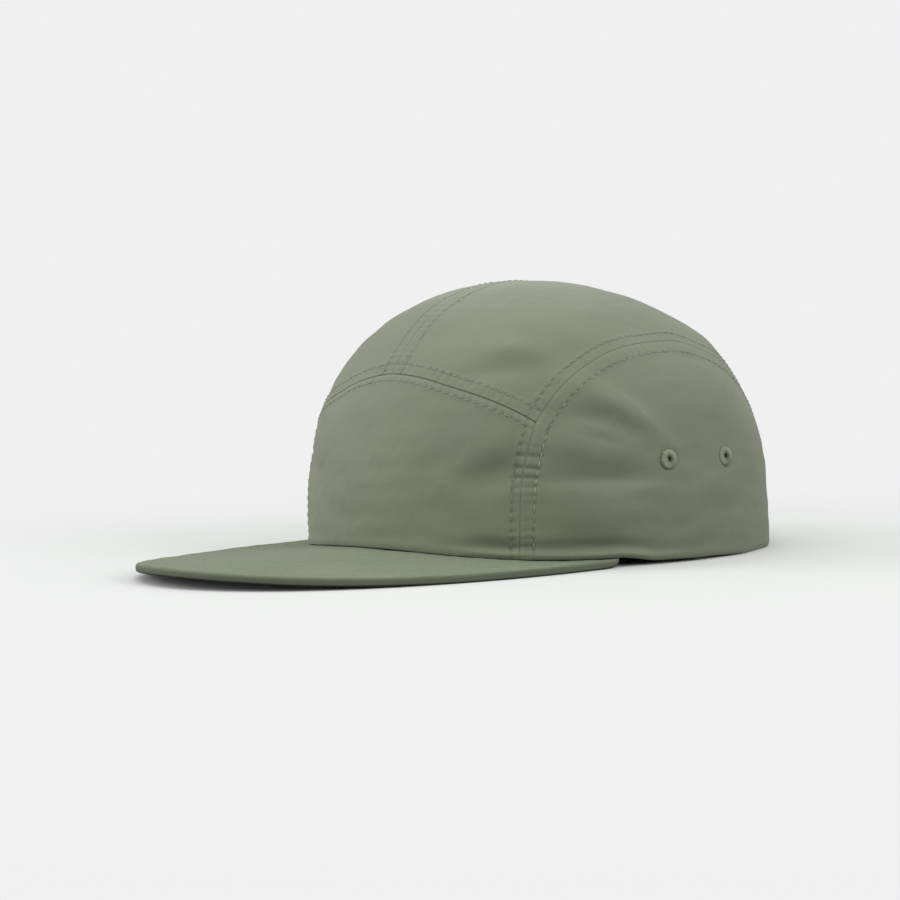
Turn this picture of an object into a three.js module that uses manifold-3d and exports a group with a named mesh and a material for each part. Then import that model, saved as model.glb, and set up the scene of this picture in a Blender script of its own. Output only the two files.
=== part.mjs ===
// Five panel cap, in millimetres. +Z is up, the peak points to -Y and the wearer's left is +X.
// The crown's places are given on a disc: the angle runs from the front (0) over the left (90) to the back
// (180), and the share runs from the highest point (0) to the rim (1).
import * as THREE from "three";
import { mergeVertices } from "three/addons/utils/BufferGeometryUtils.js";
import Module from "manifold-3d";

// Crown, measured outside the cloth
const CROWN_HALF_WIDTH = 85.5;
const CROWN_FRONT_REACH = 94.5;
const CROWN_BACK_REACH = 95.5;
const CROWN_HEIGHT = 106.5;
const CROWN_TOP_FORWARD = 9.7;
const CLOTH_WALL = 1.2;
const FOLD_DEPTH = 1.6;

// Peak: its ends stand out past the rim by the overhang
const PEAK_OVERHANG = 1.3;
const PEAK_LENGTH = 87;
const PEAK_ROOT_FORWARD = 43;
const PEAK_THICKNESS = 3;
const PEAK_BOW = 3.6;
const PEAK_FLAT_STRIP = 7;

// Back opening, strap and buckle
const OPENING_WIDTH = 66;
const OPENING_HEIGHT = 40;
const STRAP_WIDTH = 20;
const STRAP_THICKNESS = 1.2;
const STRAP_ABOVE_RIM = 3;
const BUCKLE_LENGTH = 12;
const BUCKLE_WALL = 1.2;
const BUCKLE_TO_RIGHT = 20;

// Sweatband
const BAND_HEIGHT = 30;
const BAND_THICKNESS = 1.2;

// Sewn eyelets
const EYELET_OUTER_RADIUS = 4.1;
const EYELET_HOLE_RADIUS = 1.1;
const EYELET_RISE = 0.5;
const EYELET_HEIGHT_ABOVE_FLOOR = 37.5;
const EYELET_SPACING = 32;
const EYELET_PAIR_FORWARD = 4.5;

// Clearance between neighbouring pieces, and behind the crown's folded cloth
const GAP = 0.3;
const BAND_GAP = 0.7;

// How squarely the rim and the peak bend in plan (2 is an ellipse), and how full the crown is to each side
const RIM_FULLNESS = 2.14;
const PEAK_FULLNESS = 2.11;
const FULLNESS = {
  front: { out: 2.04, up: 2.36 },
  side: { out: 2.0, up: 3.76 },
  back: { out: 2.04, up: 2.23 },
};

// Lift of the rim past each end of the peak, as a share of its lift on the peak's flat side
const RIM_FALL = [
  { past: 0, lift: 1 },
  { past: 12, lift: 0.43 },
  { past: 28, lift: 0.3 },
  { past: 48, lift: 0.07 },
  { past: 70, lift: 0 },
];

// Seams of the wearer's left half
const FRONT_SEAM = [
  { angle: 0, share: 0.58 },
  { angle: 11, share: 0.592 },
  { angle: 22, share: 0.622 },
  { angle: 33, share: 0.661 },
  { angle: 42.6, share: 0.708 },
];
const SIDE_SEAM = [
  { angle: 42.6, share: 0.708 },
  { angle: 40.6, share: 0.77 },
  { angle: 39.2, share: 0.835 },
  { angle: 38.7, share: 0.915 },
  { angle: 38.5, share: 1 },
];
const SIDE_ARCH = [
  { angle: 42.6, share: 0.708 },
  { angle: 48.8, share: 0.636 },
  { angle: 58.5, share: 0.575 },
  { angle: 69.5, share: 0.54 },
  { angle: 82, share: 0.524 },
  { angle: 95, share: 0.524 },
  { angle: 107, share: 0.548 },
  { angle: 117.5, share: 0.578 },
  { angle: 127.5, share: 0.619 },
  { angle: 136.5, share: 0.67 },
  { angle: 143.5, share: 0.735 },
  { angle: 148, share: 0.815 },
  { angle: 150.3, share: 0.905 },
  { angle: 151, share: 1 },
];
const ARCH_TURN_ROW = 8;

// Soft folds: where the fold's middle lies, how far its line is turned from level, and its half length, half
// width (shares of the crown's height) and rise (share of the fold depth, below zero for a valley)
const FOLDS = [
  { angle: 21, share: 0.79, turn: 36, length: 0.09, width: 0.05, rise: -0.45 },
  { angle: 32.8, share: 0.815, turn: 16, length: 0.11, width: 0.048, rise: -0.95 },
  { angle: 34, share: 0.755, turn: 18, length: 0.08, width: 0.045, rise: 0.3 },
  { angle: 63.4, share: 0.685, turn: -32, length: 0.17, width: 0.042, rise: 0.85 },
  { angle: 55, share: 0.705, turn: -9, length: 0.11, width: 0.042, rise: -0.7 },
  { angle: 56, share: 0.76, turn: -6, length: 0.13, width: 0.07, rise: 0.65 },
  { angle: 57, share: 0.825, turn: -1, length: 0.19, width: 0.046, rise: -0.7 },
  { angle: 57, share: 0.95, turn: -2, length: 0.2, width: 0.05, rise: -0.75 },
  { angle: 94, share: 0.845, turn: 14, length: 0.22, width: 0.06, rise: 0.4 },
  { angle: 38, share: 0.525, turn: -3, length: 0.1, width: 0.04, rise: 0.6 },
  { angle: 35, share: 0.58, turn: 1, length: 0.12, width: 0.042, rise: -0.6 },
  { angle: 69, share: 0.43, turn: -25, length: 0.1, width: 0.05, rise: 0.4 },
  { angle: -30, share: 0.81, turn: -20, length: 0.12, width: 0.05, rise: -0.7 },
  { angle: -62, share: 0.74, turn: 24, length: 0.2, width: 0.045, rise: -0.75 },
  { angle: -66, share: 0.84, turn: 2, length: 0.22, width: 0.045, rise: 0.65 },
  { angle: -104, share: 0.86, turn: -10, length: 0.24, width: 0.055, rise: -0.5 },
  { angle: 152, share: 0.55, turn: 22, length: 0.2, width: 0.055, rise: -0.55 },
  { angle: -150, share: 0.5, turn: -25, length: 0.2, width: 0.06, rise: -0.5 },
];

// Steps of the grids
const FRONT_STEPS = 26;
const SEAM_STEPS = 12;
const ARCH_STEPS = 20;
const PEAK_STEPS = 34;
const PEAK_ROWS = 7;
const BAND_STEPS = 64;
const BAND_ROWS = 3;
const STRAP_STEPS = 18;
const STRAP_ROWS = 2;
const LEG_STEPS = 3;
const EYELET_SIDES = 16;
const EYELET_SECTION_SIDES = 8;

// Turns of the searches below, and the small step of their slopes
const PROFILE_TURNS = 7;
const HEIGHT_TURNS = 30;
const EYELET_TURNS = 12;
const SLOPE_STEP = 1e-3;

const wasm = await Module();
wasm.setup();

const radians = THREE.MathUtils.degToRad;
const degrees = THREE.MathUtils.radToDeg;

// Smooth value between the rows of a table
function tableValue(rows, column, value, place) {
  const last = rows[rows.length - 1];
  if (place >= last[column]) return last[value];
  const next = rows.findIndex((row) => row[column] > place);
  const before = rows[next - 1];
  const t = (place - before[column]) / (rows[next][column] - before[column]);
  return THREE.MathUtils.lerp(before[value], rows[next][value], THREE.MathUtils.smoothstep(t, 0, 1));
}

// Half of the rim's width where the peak starts, and half of the peak's own
const rootShare = 1 - Math.pow(PEAK_ROOT_FORWARD / CROWN_FRONT_REACH, RIM_FULLNESS);
const rootHalfWidth = CROWN_HALF_WIDTH * Math.pow(rootShare, 1 / RIM_FULLNESS);
const peakHalfWidth = rootHalfWidth + PEAK_OVERHANG;

// Lift of the peak's underside over the floor: bowed in the middle, flat along both sides
function peakLift(x) {
  const t = Math.min(1, Math.abs(x) / (peakHalfWidth - PEAK_FLAT_STRIP));
  return PEAK_BOW * Math.pow(Math.max(0, Math.cos((t * Math.PI) / 2)), 1.5);
}

const peakEndAngle = degrees(Math.atan2(peakHalfWidth, PEAK_ROOT_FORWARD));
const seatLift = PEAK_THICKNESS + GAP;

// The rim: it sits on the peak in front and comes down to the floor behind it
function rimPoint(angle) {
  const side = Math.sin(radians(angle));
  const ahead = Math.cos(radians(angle));
  const reach = ahead > 0 ? CROWN_FRONT_REACH : CROWN_BACK_REACH;
  const across = Math.pow(Math.abs(side / CROWN_HALF_WIDTH), RIM_FULLNESS);
  const along = Math.pow(Math.abs(ahead / reach), RIM_FULLNESS);
  const radius = Math.pow(across + along, -1 / RIM_FULLNESS);
  const x = radius * side;
  const turned = degrees(Math.acos(ahead));
  const past = turned - peakEndAngle;
  const lift = past < 0 ? seatLift + peakLift(x) : seatLift * tableValue(RIM_FALL, "past", "lift", past);
  return new THREE.Vector3(x, -radius * ahead, lift);
}

// Fullness of the crown's profile in one direction
function fullness(angle, key) {
  const ahead = Math.cos(radians(angle));
  const front = Math.max(ahead, 0) ** 2;
  const back = Math.max(-ahead, 0) ** 2;
  return front * FULLNESS.front[key] + back * FULLNESS.back[key] + (1 - front - back) * FULLNESS.side[key];
}

// The crown's outside without its folds, at a disc point (u to the left, v to the back)
function plainCrown(u, v) {
  const share = Math.hypot(u, v);
  const angle = degrees(Math.atan2(u, -v));
  const n = fullness(angle, "out");
  const m = fullness(angle, "up");
  const s = Math.sin((share * Math.PI) / 2);
  const c = Math.max(Math.cos((share * Math.PI) / 2), 1e-9);
  let scale = 1;
  for (let turn = 0; turn < PROFILE_TURNS; turn++) {
    const a = Math.pow(scale * s, n);
    const b = Math.pow(scale * c, m);
    scale -= ((a + b - 1) * scale) / (n * a + m * b);
  }
  const rim = rimPoint(angle);
  const x = rim.x * scale * s;
  const y = THREE.MathUtils.lerp(-CROWN_TOP_FORWARD, rim.y, scale * s);
  const z = THREE.MathUtils.lerp(rim.z, CROWN_HEIGHT, scale * c);
  return new THREE.Vector3(x, y, z);
}

const isOnRim = (share) => share > 1 - SLOPE_STEP;

// Outward normal of the plain crown, which stands upright at its rim
function crownNormal(u, v) {
  const share = Math.hypot(u, v);
  const inside = Math.min(1, (1 - SLOPE_STEP) / Math.max(share, SLOPE_STEP));
  const a = u * inside;
  const b = v * inside;
  const alongU = plainCrown(a + SLOPE_STEP, b).sub(plainCrown(a - SLOPE_STEP, b));
  const alongV = plainCrown(a, b + SLOPE_STEP).sub(plainCrown(a, b - SLOPE_STEP));
  const normal = alongU.cross(alongV);
  return isOnRim(share) ? normal.setZ(0).normalize() : normal.normalize();
}

function discPoint({ angle, share }) {
  return new THREE.Vector2(share * Math.sin(radians(angle)), -share * Math.cos(radians(angle)));
}

// Each fold with its middle and its own three directions
const foldFrames = FOLDS.map((fold) => {
  const { x: u, y: v } = discPoint(fold);
  const normal = crownNormal(u, v);
  const level = new THREE.Vector3(0, 0, 1).cross(normal).normalize();
  const line = level.applyAxisAngle(normal, radians(fold.turn));
  const across = new THREE.Vector3().crossVectors(normal, line);
  return { ...fold, middle: plainCrown(u, v), normal, line, across };
});

// Height of the folds over the plain crown
function relief(point) {
  let rise = 0;
  for (const fold of foldFrames) {
    const from = point.clone().sub(fold.middle);
    const a = from.dot(fold.line) / (fold.length * CROWN_HEIGHT);
    const b = from.dot(fold.across) / (fold.width * CROWN_HEIGHT);
    const c = from.dot(fold.normal) / (fold.length * CROWN_HEIGHT);
    rise += fold.rise * FOLD_DEPTH * Math.exp(-a * a - b * b - c * c);
  }
  return rise;
}

// A point of the crown, so deep under its outside
function crownPoint({ x: u, y: v }, depth) {
  const point = plainCrown(u, v);
  return point.addScaledVector(crownNormal(u, v), relief(point) - depth);
}

// The share at which the plain crown is so high over its rim
function shareAtHeight(angle, height) {
  let low = 0;
  let high = 1;
  const top = rimPoint(angle).z + height;
  for (let turn = 0; turn < HEIGHT_TURNS; turn++) {
    const share = (low + high) / 2;
    const { x: u, y: v } = discPoint({ angle, share });
    if (plainCrown(u, v).z > top) low = share;
    else high = share;
  }
  return high;
}

function discPointAtHeight(angle, height) {
  return discPoint({ angle, share: height > 0 ? shareAtHeight(angle, height) : 1 });
}

// Points at equal steps from one row of a seam table to another
function seamPoints(rows, from, to, steps) {
  const curve = new THREE.SplineCurve(rows.map(discPoint));
  const place = (row) => row / (rows.length - 1);
  const at = (i) => curve.getPoint(THREE.MathUtils.lerp(place(from), place(to), i / steps));
  return Array.from({ length: steps + 1 }, (_, i) => at(i));
}

function rimPoints(fromAngle, toAngle, steps) {
  const at = (i) => discPoint({ angle: THREE.MathUtils.lerp(fromAngle, toAngle, i / steps), share: 1 });
  return Array.from({ length: steps + 1 }, (_, i) => at(i));
}

// Grid of disc points blended from four edges that meet at their ends
function blendedGrid(low, high, start, end) {
  const across = low.length - 1;
  const up = start.length - 1;
  const blend = (i, j) => {
    const s = i / across;
    const t = j / up;
    const point = low[i].clone().multiplyScalar(1 - t).addScaledVector(high[i], t);
    point.addScaledVector(start[j], 1 - s).addScaledVector(end[j], s);
    point.addScaledVector(low[0], -(1 - s) * (1 - t)).addScaledVector(low[across], -s * (1 - t));
    return point.addScaledVector(high[0], -(1 - s) * t).addScaledVector(high[across], -s * t);
  };
  return low.map((_, i) => start.map((__, j) => blend(i, j)));
}

// Draws the chosen edges of a grid back from the seam by half of the gap
function drawBackEdges(grid, edges) {
  const lastI = grid.length - 1;
  const lastJ = grid[0].length - 1;
  const moved = grid.map((column) => column.map((point) => point.clone()));
  const draw = (i, j, inI, inJ, alongI, alongJ) => {
    const before = grid[Math.max(0, i - alongI)][Math.max(0, j - alongJ)];
    const after = grid[Math.min(lastI, i + alongI)][Math.min(lastJ, j + alongJ)];
    const along = after.clone().sub(before).normalize();
    const inward = grid[i + inI][j + inJ].clone().sub(grid[i][j]);
    inward.addScaledVector(along, -inward.dot(along)).normalize();
    moved[i][j].addScaledVector(inward, GAP / 2);
  };
  for (let i = 0; i <= lastI; i++) {
    if (edges.low) draw(i, 0, 0, 1, 1, 0);
    if (edges.high) draw(i, lastJ, 0, -1, 1, 0);
  }
  for (let j = 0; j <= lastJ; j++) {
    if (edges.start) draw(0, j, 1, 0, 0, 1);
    if (edges.end) draw(lastI, j, -1, 0, 0, 1);
  }
  return moved;
}

// Turns the faces of a closed geometry outwards
function facingOut(positions, triangles) {
  const corner = (k) => new THREE.Vector3().fromArray(positions, 3 * k);
  let volume = 0;
  for (let k = 0; k < triangles.length; k += 3) {
    const [a, b, c] = [corner(triangles[k]), corner(triangles[k + 1]), corner(triangles[k + 2])];
    volume += a.dot(b.cross(c));
  }
  const turned = volume < 0 ? triangles.slice().reverse() : triangles;
  const geometry = new THREE.BufferGeometry();
  geometry.setAttribute("position", new THREE.Float32BufferAttribute(positions, 3));
  return geometry.setIndex(turned);
}

// A closed wall between an outer and an inner grid of the same size
function closedWall(outer, inner) {
  const across = outer.length;
  const up = outer[0].length;
  const positions = [outer, inner].flat(2).flatMap((point) => point.toArray());
  const index = (layer, i, j) => layer * across * up + i * up + j;
  const triangles = [];
  const quad = (a, b, c, d) => triangles.push(a, b, c, a, c, d);
  for (let i = 0; i < across - 1; i++) {
    for (let j = 0; j < up - 1; j++) {
      quad(index(0, i, j), index(0, i + 1, j), index(0, i + 1, j + 1), index(0, i, j + 1));
      quad(index(1, i, j), index(1, i, j + 1), index(1, i + 1, j + 1), index(1, i + 1, j));
    }
    quad(index(1, i, 0), index(1, i + 1, 0), index(0, i + 1, 0), index(0, i, 0));
    quad(index(0, i, up - 1), index(0, i + 1, up - 1), index(1, i + 1, up - 1), index(1, i, up - 1));
  }
  for (let j = 0; j < up - 1; j++) {
    quad(index(0, 0, j), index(0, 0, j + 1), index(1, 0, j + 1), index(1, 0, j));
    const last = across - 1;
    quad(index(1, last, j), index(1, last, j + 1), index(0, last, j + 1), index(0, last, j));
  }
  return facingOut(positions, triangles);
}

// A cloth wall over a grid of disc points. Its rim keeps its level where a seam is drawn back
function clothWall(discGrid, edges) {
  const layer = (depth) => {
    const full = discGrid.map((column) => column.map((point) => crownPoint(point, depth)));
    const drawn = drawBackEdges(full, edges);
    const levelled = (point, i, j) => (isOnRim(discGrid[i][j].length()) ? point.setZ(full[i][j].z) : point);
    return drawn.map((column, i) => column.map((point, j) => levelled(point, i, j)));
  };
  return closedWall(layer(0), layer(CLOTH_WALL));
}

const mirrored = (points) => points.map((point) => new THREE.Vector2(-point.x, point.y));

function frontPanel() {
  const half = seamPoints(FRONT_SEAM, 0, FRONT_SEAM.length - 1, FRONT_STEPS / 2);
  const high = [...mirrored(half).reverse(), ...half.slice(1)];
  const end = seamPoints(SIDE_SEAM, SIDE_SEAM.length - 1, 0, SEAM_STEPS);
  const foot = SIDE_SEAM[SIDE_SEAM.length - 1].angle;
  const low = rimPoints(-foot, foot, FRONT_STEPS);
  return clothWall(blendedGrid(low, high, mirrored(end), end), { high: true, start: true, end: true });
}

function sidePanelGrid() {
  const start = seamPoints(SIDE_SEAM, SIDE_SEAM.length - 1, 0, SEAM_STEPS);
  const high = seamPoints(SIDE_ARCH, 0, ARCH_TURN_ROW, ARCH_STEPS);
  const end = seamPoints(SIDE_ARCH, SIDE_ARCH.length - 1, ARCH_TURN_ROW, SEAM_STEPS);
  const frontFoot = SIDE_SEAM[SIDE_SEAM.length - 1].angle;
  const backFoot = SIDE_ARCH[SIDE_ARCH.length - 1].angle;
  return blendedGrid(rimPoints(frontFoot, backFoot, ARCH_STEPS), high, start, end);
}

const openingHalfAngle = degrees(Math.asin(OPENING_WIDTH / 2 / CROWN_BACK_REACH));

// Half of the back opening's arch, from its top to the rim
function openingPoints(steps) {
  const at = (i) => {
    const turn = (i / steps) * (Math.PI / 2);
    const angle = 180 - openingHalfAngle * Math.sin(turn);
    return discPointAtHeight(angle, OPENING_HEIGHT * Math.cos(turn));
  };
  return Array.from({ length: steps + 1 }, (_, i) => at(i));
}

function topPanelGrid() {
  const steps = FRONT_STEPS / 2;
  const low = seamPoints(FRONT_SEAM, 0, FRONT_SEAM.length - 1, steps);
  const turn = seamPoints(SIDE_ARCH, 0, ARCH_TURN_ROW, ARCH_STEPS);
  const leg = seamPoints(SIDE_ARCH, ARCH_TURN_ROW, SIDE_ARCH.length - 1, SEAM_STEPS);
  const end = [...turn, ...leg.slice(1)];
  const opening = openingPoints(steps - LEG_STEPS);
  const backFoot = SIDE_ARCH[SIDE_ARCH.length - 1].angle;
  const high = [...opening, ...rimPoints(180 - openingHalfAngle, backFoot, LEG_STEPS).slice(1)];
  const start = end.map((_, j) => low[0].clone().lerp(high[0], j / (end.length - 1)));
  return blendedGrid(low, high, start, end);
}

// Grid of the wearer's right half, from that of the left
function rightHalf(discGrid) {
  return discGrid.map(mirrored);
}

const sideEdges = { high: true, start: true, end: true };
const topEdges = { low: true, start: true, end: true };

function toSolid(geometry) {
  const bare = new THREE.BufferGeometry().setAttribute("position", geometry.getAttribute("position"));
  const merged = mergeVertices(bare.setIndex(geometry.getIndex()));
  const vertProperties = merged.attributes.position.array;
  const triVerts = new Uint32Array(merged.index.array);
  return new wasm.Manifold(new wasm.Mesh({ numProp: 3, vertProperties, triVerts }));
}

function toGeometry(solid) {
  const { vertProperties, triVerts } = solid.getMesh();
  const geometry = new THREE.BufferGeometry();
  geometry.setAttribute("position", new THREE.BufferAttribute(vertProperties, 3));
  return geometry.setIndex(new THREE.BufferAttribute(triVerts, 1));
}

// The disc point of the left half where the crown is so high over the floor and so far back
function eyeletDiscPoint(back) {
  let angle = 90;
  let point = new THREE.Vector2();
  for (let turn = 0; turn < EYELET_TURNS; turn++) {
    point = discPointAtHeight(angle, EYELET_HEIGHT_ABOVE_FLOOR - rimPoint(angle).z);
    angle += degrees((back - plainCrown(point.x, point.y).y) / CROWN_HALF_WIDTH);
  }
  return point;
}

// Place and direction of an eyelet: the local Y axis points out of the cloth, through the wall's middle
function eyeletPose(back, side) {
  const { x: u, y: v } = eyeletDiscPoint(back);
  const place = new THREE.Vector2(side * u, v);
  const position = crownPoint(place, CLOTH_WALL / 2);
  const outward = crownNormal(side * u, v);
  const turn = new THREE.Quaternion().setFromUnitVectors(new THREE.Vector3(0, 1, 0), outward);
  return new THREE.Matrix4().compose(position, turn, new THREE.Vector3(1, 1, 1));
}

const eyeletPlaces = [
  { name: "front", back: -EYELET_PAIR_FORWARD - EYELET_SPACING / 2 },
  { name: "back", back: -EYELET_PAIR_FORWARD + EYELET_SPACING / 2 },
];

// A ring of thread, thick in the middle and thin at both edges
function eyeletRing() {
  const half = CLOTH_WALL / 2 + EYELET_RISE;
  const middle = (EYELET_OUTER_RADIUS + EYELET_HOLE_RADIUS) / 2;
  const reach = (EYELET_OUTER_RADIUS - EYELET_HOLE_RADIUS) / 2;
  const section = Array.from({ length: EYELET_SECTION_SIDES }, (_, k) => {
    const turn = (k / EYELET_SECTION_SIDES) * 2 * Math.PI;
    return new THREE.Vector2(middle + reach * Math.cos(turn), half * Math.sin(turn));
  });
  return new THREE.LatheGeometry([...section, section[0]], EYELET_SIDES);
}

// A side panel with a round hole for each eyelet
function sidePanel(side) {
  const grid = side > 0 ? sidePanelGrid() : rightHalf(sidePanelGrid());
  let solid = toSolid(clothWall(grid, sideEdges));
  const radius = EYELET_OUTER_RADIUS + GAP;
  const length = 2 * (CLOTH_WALL + radius);
  for (const { back } of eyeletPlaces) {
    const drill = new THREE.CylinderGeometry(radius, radius, length, EYELET_SIDES);
    solid = solid.subtract(toSolid(drill.applyMatrix4(eyeletPose(back, side))));
  }
  return toGeometry(solid);
}

function topPanel(side) {
  const grid = side > 0 ? topPanelGrid() : rightHalf(topPanelGrid());
  return clothWall(grid, topEdges);
}

// The peak: from the crown's inner face out to half of an ellipse, bowed as one board
function peak() {
  const reach = CROWN_FRONT_REACH + PEAK_LENGTH - PEAK_ROOT_FORWARD;
  const inner = (i) => {
    const angle = THREE.MathUtils.lerp(-peakEndAngle, peakEndAngle, i / PEAK_STEPS);
    const rim = rimPoint(angle).setZ(0);
    return rim.setLength(rim.length() - CLOTH_WALL);
  };
  const rounded = (value) => Math.sign(value) * Math.pow(Math.abs(value), 2 / PEAK_FULLNESS);
  const outer = (i) => {
    const turn = THREE.MathUtils.lerp(-Math.PI / 2, Math.PI / 2, i / PEAK_STEPS);
    const x = peakHalfWidth * rounded(Math.sin(turn));
    const y = -PEAK_ROOT_FORWARD - reach * rounded(Math.cos(turn));
    return new THREE.Vector3(x, y, 0);
  };
  const layer = (height) =>
    Array.from({ length: PEAK_STEPS + 1 }, (_, i) =>
      Array.from({ length: PEAK_ROWS + 1 }, (__, j) => {
        const point = inner(i).lerp(outer(i), j / PEAK_ROWS);
        return point.setZ(peakLift(point.x) + height);
      }),
    );
  return closedWall(layer(PEAK_THICKNESS), layer(0));
}

// A band inside the crown between two angles and two heights over the rim
function innerBand(fromAngle, toAngle, lowHeight, highHeight, thickness, steps, rows) {
  const layer = (depth) =>
    Array.from({ length: steps + 1 }, (_, i) =>
      Array.from({ length: rows + 1 }, (__, j) => {
        const angle = THREE.MathUtils.lerp(fromAngle, toAngle, i / steps);
        const height = THREE.MathUtils.lerp(lowHeight, highHeight, j / rows);
        return crownPoint(discPointAtHeight(angle, height), depth);
      }),
    );
  const depth = CLOTH_WALL + BAND_GAP;
  return closedWall(layer(depth), layer(depth + thickness));
}

const strapEndAngle = SIDE_ARCH[SIDE_ARCH.length - 1].angle;
const gapAngle = degrees(GAP / (CROWN_BACK_REACH - CLOTH_WALL - BAND_THICKNESS));

function sweatband() {
  const end = strapEndAngle - gapAngle;
  return innerBand(-end, end, 0, BAND_HEIGHT, BAND_THICKNESS, BAND_STEPS, BAND_ROWS);
}

function backStrap() {
  const top = STRAP_ABOVE_RIM + STRAP_WIDTH;
  const otherEnd = 360 - strapEndAngle;
  return innerBand(strapEndAngle, otherEnd, STRAP_ABOVE_RIM, top, STRAP_THICKNESS, STRAP_STEPS, STRAP_ROWS);
}

// A flat sleeve round the strap, open at both ends
function strapBuckle() {
  const angle = 180 + degrees(Math.asin(BUCKLE_TO_RIGHT / CROWN_BACK_REACH));
  const place = discPointAtHeight(angle, STRAP_ABOVE_RIM + STRAP_WIDTH / 2);
  const depth = CLOTH_WALL + BAND_GAP + STRAP_THICKNESS / 2;
  const out = crownNormal(place.x, place.y);
  const along = new THREE.Vector3(0, 0, 1).cross(out).normalize();
  const up = new THREE.Vector3().crossVectors(out, along);
  const halfHeight = STRAP_WIDTH / 2 + GAP;
  const halfDepth = STRAP_THICKNESS / 2 + BAND_GAP;
  const shape = new THREE.Shape(rectangle(halfDepth + BUCKLE_WALL, halfHeight + BUCKLE_WALL));
  shape.holes.push(new THREE.Path(rectangle(halfDepth, halfHeight)));
  const geometry = new THREE.ExtrudeGeometry(shape, { depth: BUCKLE_LENGTH, bevelEnabled: false });
  const frame = new THREE.Matrix4().makeBasis(out, up, along.clone().negate());
  const middle = crownPoint(place, depth).addScaledVector(along, BUCKLE_LENGTH / 2);
  return geometry.applyMatrix4(frame.setPosition(middle));
}

function rectangle(halfWidth, halfHeight) {
  return [
    new THREE.Vector2(-halfWidth, -halfHeight),
    new THREE.Vector2(halfWidth, -halfHeight),
    new THREE.Vector2(halfWidth, halfHeight),
    new THREE.Vector2(-halfWidth, halfHeight),
  ];
}

const olive = new THREE.MeshStandardMaterial({ color: 0x7d826e, roughness: 0.75, metalness: 0 });
const oliveDark = new THREE.MeshStandardMaterial({ color: 0x6b705c, roughness: 0.85, metalness: 0 });
const buckleMetal = new THREE.MeshStandardMaterial({ color: 0x3a3b38, roughness: 0.45, metalness: 0.6 });

function named(name, geometry, material) {
  const mesh = new THREE.Mesh(geometry, material.clone());
  mesh.name = name;
  return mesh;
}

function eyelet(name, back, side) {
  const mesh = named(name, eyeletRing(), oliveDark);
  mesh.applyMatrix4(eyeletPose(back, side));
  return mesh;
}

function crown() {
  const group = new THREE.Group();
  group.add(named("front_panel", frontPanel(), olive));
  for (const [word, side] of [["left", 1], ["right", -1]]) {
    group.add(named("top_panel_" + word, topPanel(side), olive));
    group.add(named("side_panel_" + word, sidePanel(side), olive));
    for (const { name, back } of eyeletPlaces) group.add(eyelet("eyelet_" + word + "_" + name, back, side));
  }
  return group;
}

// The whole cap, with the middle of its box over the origin and its lowest point on the floor
function cap() {
  const group = new THREE.Group();
  group.add(crown());
  group.add(named("peak", peak(), olive));
  group.add(named("sweatband", sweatband(), oliveDark));
  group.add(named("back_strap", backStrap(), oliveDark));
  group.add(named("strap_buckle", strapBuckle(), buckleMetal));
  const box = new THREE.Box3().setFromObject(group, true);
  const middle = box.getCenter(new THREE.Vector3());
  group.position.set(-middle.x, -middle.y, -box.min.z);
  const whole = new THREE.Group();
  whole.add(group);
  return whole;
}

export default cap();
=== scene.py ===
import math

import bpy
import numpy as np
from mathutils import Matrix, Vector


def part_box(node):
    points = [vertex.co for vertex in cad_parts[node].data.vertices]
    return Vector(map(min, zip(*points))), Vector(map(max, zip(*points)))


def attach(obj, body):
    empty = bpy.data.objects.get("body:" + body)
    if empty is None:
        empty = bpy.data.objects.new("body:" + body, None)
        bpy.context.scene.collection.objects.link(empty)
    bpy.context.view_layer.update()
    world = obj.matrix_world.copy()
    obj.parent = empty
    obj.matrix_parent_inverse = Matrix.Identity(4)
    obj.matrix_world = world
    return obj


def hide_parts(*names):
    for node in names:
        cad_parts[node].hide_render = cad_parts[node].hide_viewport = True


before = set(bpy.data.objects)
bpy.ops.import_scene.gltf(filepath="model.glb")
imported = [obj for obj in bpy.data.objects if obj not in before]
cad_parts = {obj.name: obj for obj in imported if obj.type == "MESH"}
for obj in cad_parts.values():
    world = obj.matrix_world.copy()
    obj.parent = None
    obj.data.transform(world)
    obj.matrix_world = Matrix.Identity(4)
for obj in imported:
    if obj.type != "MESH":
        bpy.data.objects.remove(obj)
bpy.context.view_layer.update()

# Everything below is worked out in millimetres in the cap's own frame, where the crown's middle is over
# the origin, the peak points to -Y and +X is the wearer's left. row_frame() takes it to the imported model's.

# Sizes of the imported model
CROWN_HALF_WIDTH = 85.5
CROWN_FRONT_REACH = 94.5
CROWN_BACK_REACH = 95.5
CROWN_HEIGHT = 106.5
CROWN_TOP_FORWARD = 9.7
CLOTH_WALL = 1.2
FOLD_DEPTH = 1.6
PEAK_OVERHANG = 1.3
PEAK_LENGTH = 87
PEAK_ROOT_FORWARD = 43
PEAK_THICKNESS = 3
PEAK_BOW = 3.6
PEAK_BOW_POWER = 1.5
PEAK_FLAT_STRIP = 7
OPENING_WIDTH = 66
OPENING_HEIGHT = 40
STRAP_WIDTH = 20
STRAP_THICKNESS = 1.2
STRAP_ABOVE_RIM = 3
BAND_HEIGHT = 30
BAND_THICKNESS = 1.2
EYELET_HEIGHT_ABOVE_FLOOR = 37.5
EYELET_SPACING = 32
EYELET_PAIR_FORWARD = 4.5
GAP = 0.3
BAND_GAP = 0.7
RIM_FULLNESS = 2.14
PEAK_FULLNESS = 2.11
FULLNESS_OUT = {"front": 2.04, "side": 2.0, "back": 2.04}
FULLNESS_UP = {"front": 2.36, "side": 3.76, "back": 2.23}

# Lift of the rim past each end of the peak: degrees past it, share of the lift on the peak
RIM_FALL = [(0, 1), (12, 0.43), (28, 0.3), (48, 0.07), (70, 0)]

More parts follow.
